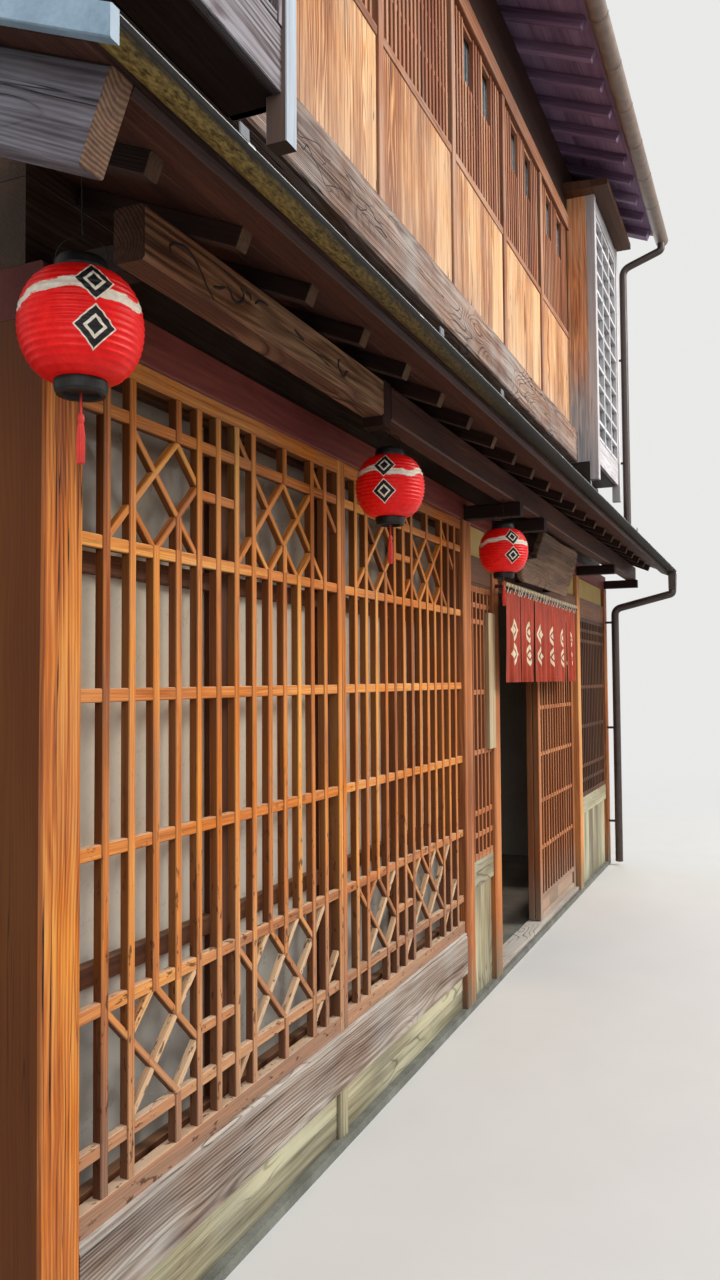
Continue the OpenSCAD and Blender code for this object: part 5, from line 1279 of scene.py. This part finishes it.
# Painted shade: the darker bands above the blind and below the second rail stand for the unlit room behind; a
# pale grey band lies over the lower part.
glazing("window_glass", "cabea6", "dcd0ba", 0.24, (
    (BLIND_TOP - 0.03, BLIND_TOP, 0.0, 0.62, "685a4c"),
    (RAIL_3 - 0.5, RAIL_3 + 0.2, 0.45, 0.0, "b2b6ba"),
    (RAIL_2 - 0.03, RAIL_2, 0.6, 0.0, "706e68")))
glazing("upper_glass", "8c989e", "bcc6ca", 0.16)


def panes(name, material, groups):
    """Panes 4 mm thick. A group is its stretches along x, its one stretch of height and its street face."""
    s = Sheet(name, material)
    for stretches, (low, high), y in groups:
        for left, right in stretches:
            front, back = ([(left, at, low), (right, at, low), (right, at, high), (left, at, high)]
                           for at in (y, y + 0.004))
            s.grid([back, front], closed=True)
            s.face(front)
            s.face(back[::-1])
    s.done("glass", slot="glass")


FRONT_PANE, UPPER_PANE, BOX_PANE, REAR_PANE = FACE + 0.100, UPPER + 0.044, BOX_Y + 0.044, REAR[0] + 0.010
BOX_INSIDES = [(a + BOX_POST, b - BOX_POST) for a, b in BOXES]
panes("front_panes", "window_glass", (((WINDOW,), (SILL_TOP, HEAD), FRONT_PANE),
                                      (SIDE_BAYS, (SIDE_LATTICE, LINTEL), FRONT_PANE)))
panes("upper_panes", "upper_glass", ((BAYS, (UPPER_LATTICE, TOP_RAIL), UPPER_PANE),
                                     (BOX_INSIDES, BOX_OPENING, BOX_PANE),
                                     (REAR_LOWER, REAR_LOW, REAR_PANE), (BAYS, REAR_HIGH, REAR_PANE)))

# Solids that keep their shape.
for node, material in (("foundation", "footing_stone"), ("earth_floor", "packed_earth"),
                       ("entry_plaster", "ochre_plaster"), ("right_wall", "party_plaster")):
    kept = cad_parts[node]
    if not kept.material_slots:
        kept.data.materials.append(None)
    for held in kept.material_slots:
        held.link = "OBJECT"
        held.material = MATERIALS[material]


# Lanterns.
def lozenge(s, reach, ring, hollow, core, soft):
    """A ring with a core inside it. reach is how far a point is from their middle."""
    band = s.span(reach, ring, ring + soft, 1.0, 0.0) * s.span(reach, hollow, hollow + soft)
    return s.math("MAXIMUM", band, s.span(reach, core, core + soft, 1.0, 0.0))


def lantern_paper():
    """Red paper over ribs, with a waved pale band and two columns of dark lozenges."""
    s = Shader("lantern_paper")
    flat = s.read("flat", "Vector")
    cosine, high, sine = s.split(flat)
    turn = s.math("ARCTAN2", sine, cosine)
    fibre = s.noise(s.place(), (60, 60, 60), 5.0, 0.7)
    brush = s.noise(flat, (9, 420, 9))
    wave = s.math("SINE", turn * 3.0) * 0.0085 + s.math("SINE", turn * 8.0 + 1.0) * 0.0035
    band = s.span(abs(high + wave - 0.034) + (brush - 0.5) * 0.010, 0.0085, 0.0105, 1.0, 0.0)
    across = s.math("PINGPONG", turn, math.pi / 2)
    ink = edge = 0.0
    for at in (0.050, -0.030):
        reach = across * 0.105 + abs(high - at)
        edge = s.math("MAXIMUM", s.span(reach, 0.0370, 0.0378, 1.0, 0.0), edge)
        ink = s.math("MAXIMUM", lozenge(s, reach, 0.0335, 0.0200, 0.0130, 0.0008), ink)
    red, cream, black = (s.ramp(fibre, 0.35, 0.65, *colours) for colours in (
        ("ea0a0c", "ff201a"), ("e8d6be", "faf0de"), ("0e0c0e", "221e1e")))
    colour = s.mix(ink, s.mix(s.math("MAXIMUM", band, edge), red, cream), black)
    s.finish(colour, 0.42, fibre, 0.0005, Specular_IOR_Level=0.25)


def turned(name, material, profiles, centre, around, face=0.0):
    """Turns profiles of (radius, height) round an upright axis. face is the way that its front looks."""
    points, faces, flat = [], [], []
    turns = [TURN * k / around for k in range(around)]
    for profile in profiles:
        base = len(points)
        for r, z in profile:
            points += [Vector(centre) + Vector((r * math.cos(q), r * math.sin(q), z)) for q in turns]
            flat += [(math.cos(q - face), z, math.sin(q - face)) for q in turns]
        faces += net(base, len(profile), around)
        faces.append(tuple(range(base + around - 1, base - 1, -1)))
        faces.append(tuple(range(len(points) - around, len(points))))
    mesh = form(name, material, points, faces)
    tag(mesh, "flat", flat)
    return mesh


LANTERN_D, LANTERN_H, CAP_D, CAP_H, RIBS, TASSEL = 0.226, 0.192, 0.092, 0.024, 17, 0.120
LANTERN_Y = PURLIN_Y + 0.036
CAP_PROFILE = ((-0.004, -0.004), (0.0, 0.0), (0.001, 0.006), (-0.001, 0.018), (-0.004, CAP_H),
               (-0.012, CAP_H), (-0.014, 0.016), (0.004 - CAP_D / 2, 0.014))
SILK_PROFILE = ((0.0058, -TASSEL), (0.0066, 0.006 - TASSEL), (0.0070, -0.100), (0.0068, -0.070),
                (0.0052, -0.053), (0.0042, -0.050), (0.0056, -0.047), (0.0066, -0.042), (0.0058, -0.036),
                (0.0030, -0.031), (0.0022, -0.030), (0.0022, 0.004))
STRANDS = 20


def lantern(number, at, hook, rise, face):
    """One lantern: ribbed paper, a cap at each end, a bow on a hook of wire, and a tassel."""
    x, z = X_L + at, PURLIN_Z - hook - CAP_H - LANTERN_H / 2
    body = []
    for k in range(RIBS * 6 + 1):
        u = -1 + 2 * k / (RIBS * 6)
        r = CAP_D / 2 - 0.004 + (LANTERN_D - CAP_D) / 2 * max(0.0, 1 - u * u) ** 0.5
        body.append((r - 0.0028 * abs(math.sin(math.pi * k / 6)) * (1 - 0.5 * u * u), u * LANTERN_H / 2))
    name = f"lantern_paper_{number}"
    mesh = turned(name, "lantern_paper", [body], (x, LANTERN_Y, z), 80, face)
    mesh.shade_smooth()
    settle(mesh, name, HOUSE, ("lanterns",))

    caps = [[(CAP_D / 2 + out, way * (LANTERN_H / 2 + up)) for out, up in CAP_PROFILE[::way]]
            for way in (-1, 1)]
    name = f"lantern_caps_{number}"
    mesh = turned(name, "black_iron", caps, (x, LANTERN_Y, z), 40)
    settle(mesh, name, HOUSE, ("lanterns",))

    s = Sheet(f"lantern_wires_{number}", "black_iron")
    top = z + LANTERN_H / 2 + CAP_H
    eye, side = Vector((x, LANTERN_Y, top)), Vector((-math.sin(face - 0.5), math.cos(face - 0.5), 0))
    side *= CAP_D / 2 - 0.001
    down = Vector((0, 0, -0.012))
    bow = [eye + side * math.cos(q) * 1.03 + Vector((0, 0, 0.044 * math.sin(q) ** 0.8)) for q in
           [math.pi * k / 16 for k in range(1, 16)]]
    tube(s, [eye + side + down] + bow + [eye - side + down], 0.0012, 8)
    crook = ((0, 0.039), (0.003, 0.042), (0.0045, 0.048), (0.002, min(0.060, rise - 0.002)), (0, rise))
    tube(s, [(x + out, LANTERN_Y, top + up) for out, up in crook], 0.0014, 8)
    s.done(slot="gutter_metal")

    name, foot = f"lantern_tassel_{number}", z - LANTERN_H / 2 - CAP_H
    mesh = turned(name, "red_silk", [SILK_PROFILE], (x, LANTERN_Y, foot), STRANDS)
    for k, v in enumerate(mesh.vertices):
        if v.co.z < foot - 0.052:
            pull = 1 + 0.13 * (-1) ** (k % STRANDS)
            v.co.x, v.co.y = x + (v.co.x - x) * pull, LANTERN_Y + (v.co.y - LANTERN_Y) * pull
    settle(mesh, name, HOUSE, ())


lantern_paper()
lantern(0, -0.195, 0.052, pent_under(LANTERN_Y) - PURLIN_Z + 0.051, 4.05)
lantern(1, 1.265, 0.070, 0.070, 3.34)
lantern(2, 2.610, 0.110, 0.110, 3.81)

# Curtain.
ROD_Y, ROD_Z, ROD_D, NODE_STEP = FACE - 0.076, LINTEL + 0.024, 0.024, 0.270
NOREN_X, NOREN_W, NOREN_H = ENTRY_L - 0.130, 1.720, 0.470
ROD = (NOREN_X - 0.040, NOREN_X + NOREN_W + 0.040)


def bamboo():
    """A dry cane, darker round its nodes."""
    s = Shader("bamboo")
    place = s.place()
    streak, blot = s.noise(place, (3, 260, 260)), s.noise(place, (9, 30, 30), 4.0)
    node = s.math("PINGPONG", s.split(place)[0] + 4.0, NODE_STEP / 2)
    colour = s.mix(s.span(node, 0.0, 0.006, 0.75, 0.0),
                   s.ramp(streak * 0.5 + blot * 0.5, 0.35, 0.65, "8a7040", "c4ac74"), "604a2c")
    s.finish(colour, s.span(blot, 0.3, 0.7, 0.35, 0.55), streak, 0.0004)


bamboo()
joints = [ROD[0] + k * NODE_STEP for k in range(7)] + [ROD[1]]
path, radii = [], []
for a, b in zip(joints, joints[1:]):
    for f, r in ((0.0, 0.0118), (0.012, 0.0121), (0.03, 0.0112), (0.5, 0.0109), (0.97, 0.0113)):
        path.append((a + (b - a) * f, ROD_Y, ROD_Z))
        radii.append(r)
s = Sheet("rod_bamboo", "bamboo")
tube(s, path + [(ROD[1], ROD_Y, ROD_Z)], radii + [0.0118], 20)
s.done("curtain_rod", slot="rod_wood")
t = Timbers("rod_brackets", "head_wood", 91)
for x, wall in ((X_JAMB, FACE), (NOREN_X + NOREN_W, FACE + 0.010)):
    t.block(about(x, 0.018), (ROD_Y + 0.009, wall), about(ROD_Z, 0.018))
    t.block(about(x, 0.018), about(ROD_Y, 0.028), (ROD_Z - 0.020, ROD_Z - 0.0105))
t.done("curtain_rod", slot="rod_wood")


def curtain_cloth():
    """Plain woven cotton, mottled in tone, with a column of pale lozenges on each panel."""
    s = Shader("curtain_cloth")
    flat = s.read("flat", "Vector")
    u, v, _ = s.split(flat)
    weave = s.math("SINE", u * 5200.0) * s.math("SINE", v * 5200.0)
    slub = s.noise(flat, (900, 60, 3))
    tone = s.noise(flat, (7, 5, 3), 4.0) * 0.6 + slub * 0.4
    mark = 0.0
    for at in (0.190, 0.312):
        reach = abs(u) * 0.95 + abs(v - at)
        mark = s.math("MAXIMUM", lozenge(s, reach, 0.058, 0.03248, 0.01856, 0.0015), mark)
    mark = mark * s.span(slub, 0.25, 0.45, 0.75, 1.0)
    red, white = s.ramp(tone, 0.35, 0.65, "8e2e1a", "b8442a"), s.ramp(tone, 0.35, 0.65, "d6c4a2", "f0e4c8")
    side, foot = (s.span(abs(at), 0.0006, 0.0012, 0.5, 0.0) for at in (abs(u) - 0.133, v - 0.437))
    hem = s.math("MAXIMUM", side, foot)
    colour = s.mix(hem, s.mix(mark, red, white), "601c14")
    s.finish(colour, 0.85, weave * 0.25 + (slub + hem * -1.0), 0.0006, Sheen_Weight=0.08, Sheen_Roughness=0.5,
             Specular_IOR_Level=0.2)


PANELS, LOOPS, LOOP_DROP, ACROSS, DOWN, HANG_FRAMES = 6, 5, 0.016, 36, 48, 40
PANEL_W = NOREN_W / PANELS
cut_w, cut_h = PANEL_W * 1.035, NOREN_H - LOOP_DROP


def curtain():
    """The six panels, with soft folds. Gives their mesh and the points that the loops hold."""
    points, faces, flat, pins = [], [], [], []
    for p in range(PANELS):
        dice = random.Random(200 + p)
        phase, waves = dice.uniform(0, 6.28), 1.0 + 0.35 * dice.random() + (p % 2) * 0.35
        base = len(points)
        for j in range(DOWN + 1):
            v = j / DOWN
            deep, z = 0.004 + 0.024 * v, ROD_Z - ROD_D / 2 - LOOP_DROP - v * cut_h
            drawn = 1 / (1 + (math.pi * waves / PANEL_W * deep) ** 2)
            for i in range(ACROSS + 1):
                u, loop = i / ACROSS, i * (LOOPS - 1) / ACROSS
                fold = deep * math.sin(TURN * waves * u + phase + 0.5 * v)
                fold += (0.001 + 0.004 * v * v) * math.sin(2 * TURN * waves * u + 2.1 * phase)
                if j == 0 and abs(loop - round(loop)) < 0.5 * (LOOPS - 1) / ACROSS + 1e-6:
                    pins.append(len(points))
                x = NOREN_X + (p + 0.5) * PANEL_W + (u - 0.5) * (PANEL_W - 0.006) * drawn
                points.append((x, ROD_Y + fold, z))
                flat.append(((u - 0.5) * cut_w, v * cut_h, p))
        faces += [(a, d, c, b) for a, b, c, d in net(base, DOWN + 1, ACROSS + 1, closed=False)]
    mesh = form("noren_cloth", "curtain_cloth", points, faces)
    tag(mesh, "flat", flat)
    return mesh, pins


def hang(cloth, pins):
    """Lets the cloth hang from its pins, then keeps the shape it comes to."""
    group = cloth.vertex_groups.new(name="pinned")
    group.add(pins, 1.0, "REPLACE")
    made = cloth.modifiers.new("hang", "CLOTH")
    made.settings.quality = 8
    made.settings.mass = 0.25
    made.settings.tension_stiffness = 40
    made.settings.compression_stiffness = 40
    made.settings.shear_stiffness = 15
    made.settings.bending_stiffness = 0.6
    made.settings.vertex_group_mass = "pinned"
    made.collision_settings.use_collision = False
    made.point_cache.frame_start, made.point_cache.frame_end = 1, HANG_FRAMES
    for number in range(1, HANG_FRAMES + 1):
        bpy.context.scene.frame_set(number)
    hung = cloth.evaluated_get(bpy.context.evaluated_depsgraph_get())
    places = [v.co.copy() for v in hung.data.vertices]
    cloth.modifiers.remove(made)
    cloth.vertex_groups.clear()
    for v, place in zip(cloth.data.vertices, places):
        v.co = place
    bpy.context.scene.frame_set(1)


curtain_cloth()
mesh, pins = curtain()
cloth = bpy.data.objects.new("noren_cloth", mesh)
bpy.context.scene.collection.objects.link(cloth)
hang(cloth, pins)
mesh.shade_smooth()
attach(cloth, HOUSE)
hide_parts("noren")

# Pale loops over the rod, each a narrow flat strip.
s = Sheet("noren_loops", "loop_cotton")
for p in range(PANELS):
    left = NOREN_X + p * PANEL_W
    for u in [k / (LOOPS - 1) for k in range(LOOPS)]:
        x = min(max(left + 0.003 + u * (PANEL_W - 0.006), left + 0.016), left + PANEL_W - 0.016)
        held = mesh.vertices[p * (ACROSS + 1) * (DOWN + 1) + round(u * ACROSS)].co
        over = [(ROD_Y - a, ROD_Z + b) for a, b in arc(0, 0, ROD_D / 2 + 0.0012, 0, math.pi, 12)]
        line = [(held.y - 0.0012, held.z - 0.012)] + over + [(held.y + 0.0012, held.z - 0.012)]
        s.grid([[(at, y, z) for y, z in ribbon(line, 0.0014)] for at in about(x, 0.011)], closed=True)
loops = s.done(slot="curtain_cloth")
cut_w * PANELS

# Floor, light and camera.
BACKDROP = (0.82, 0.82, 0.81, 1)


def seen(s):
    """1 for a ray that shows the backdrop itself, and 0 for one that only brings light."""
    value = s.node("LightPath", {}, "Is Camera Ray")
    for kind in ("Is Glossy Ray", "Is Transmission Ray"):
        value = s.math("MAXIMUM", value, s.node("LightPath", {}, kind))
    return value


def studio_floor():
    """A pale matt floor that holds the shadows near the house and fades into the backdrop far from it."""
    s = Shader("studio_floor")
    colour = s.ramp(s.noise(s.place(), 3.0, 4.0), 0.3, 0.7, "dbdad7", "deddda")
    near = s.node("BsdfPrincipled", {"Base Color": colour, "Roughness": 0.9})
    glow = s.node("Emission", {"Color": BACKDROP, "Strength": seen(s)})
    far = s.node("VectorMath", {0: s.place()}, "Value", operation="LENGTH")
    s.node("OutputMaterial", {0: s.node("MixShader", {0: s.span(far, 5.0, 12.0), 1: near, 2: glow})})
    MATERIALS["studio_floor"] = s.owner


studio_floor()
FLOOR = 60.0
corners = [(x * FLOOR, y * FLOOR, 0) for x, y in ((-1, -1), (1, -1), (1, 1), (-1, 1))]
floor = bpy.data.objects.new("floor", form("floor", "studio_floor", corners, [(0, 1, 2, 3)]))
bpy.context.scene.collection.objects.link(floor)
floor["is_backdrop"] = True

s = Shader("studio", bpy.data.worlds.new("studio"))
lit = s.node("Background", {"Color": (0.94, 0.97, 1.0, 1), "Strength": 0.38})
shown = s.node("Background", {"Color": BACKDROP, "Strength": 1.0})
s.node("OutputWorld", {0: s.node("MixShader", {0: seen(s), 1: lit, 2: shown})})
bpy.context.scene.world = s.owner


def lamp(name, place, target, power, size, colour=(1, 1, 1)):
    data = bpy.data.lights.new(name, "AREA")
    data.energy, data.size, data.color = power, size, colour
    made = bpy.data.objects.new(name, data)
    made.location = place
    made.rotation_euler = (Vector(target) - Vector(place)).to_track_quat("-Z", "Y").to_euler()
    bpy.context.scene.collection.objects.link(made)


lamp("key", (3.5, -11.5, 7.5), (-0.8, -3.6, 1.8), 960, 4.5, (1.0, 0.975, 0.94))
lamp("fill", (-9.0, -7.0, 5.0), (-3.0, -3.4, 2.2), 400, 6.0, (0.93, 0.97, 1.0))
lamp("side", (13.0, -2.0, 6.0), (3.2, 0.0, 2.5), 340, 6.0, (0.97, 0.98, 1.0))
lamp("back", (2.0, 12.0, 9.0), (0, 3.6, 2.5), 600, 7.0)

# The camera as solved from the photo: its eye, its turns in radians, its focal length and the photo's height.
EYE, YAW, PITCH_UP, ROLL = (-4.798, -5.012, 1.497), 0.4102, 0.0413, -0.0072
FOCAL, PHOTO_H = 970.93, 1280
forward = Vector((math.cos(YAW) * math.cos(PITCH_UP), math.sin(YAW) * math.cos(PITCH_UP), math.sin(PITCH_UP)))
right = Vector((math.sin(YAW), -math.cos(YAW), 0))
up = right.cross(forward)
right, up = right * math.cos(ROLL) + up * math.sin(ROLL), up * math.cos(ROLL) - right * math.sin(ROLL)
data = bpy.data.cameras.new("camera")
data.sensor_fit, data.sensor_width, data.sensor_height = "VERTICAL", 36, 36
data.lens = 36 * FOCAL / PHOTO_H
data.clip_start, data.clip_end = 0.05, 200
camera = bpy.data.objects.new("camera", data)
camera.matrix_world = Matrix.Translation(EYE) @ Matrix((right, up, -forward)).transposed().to_4x4()
bpy.context.scene.collection.objects.link(camera)
bpy.context.scene.camera = camera

bpy.context.scene.view_settings.view_transform = "Standard"

bpy.context.view_layer.update()
low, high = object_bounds()
{"cad": [list(cad_low), list(cad_high)], "visual": [list(low), list(high)]}
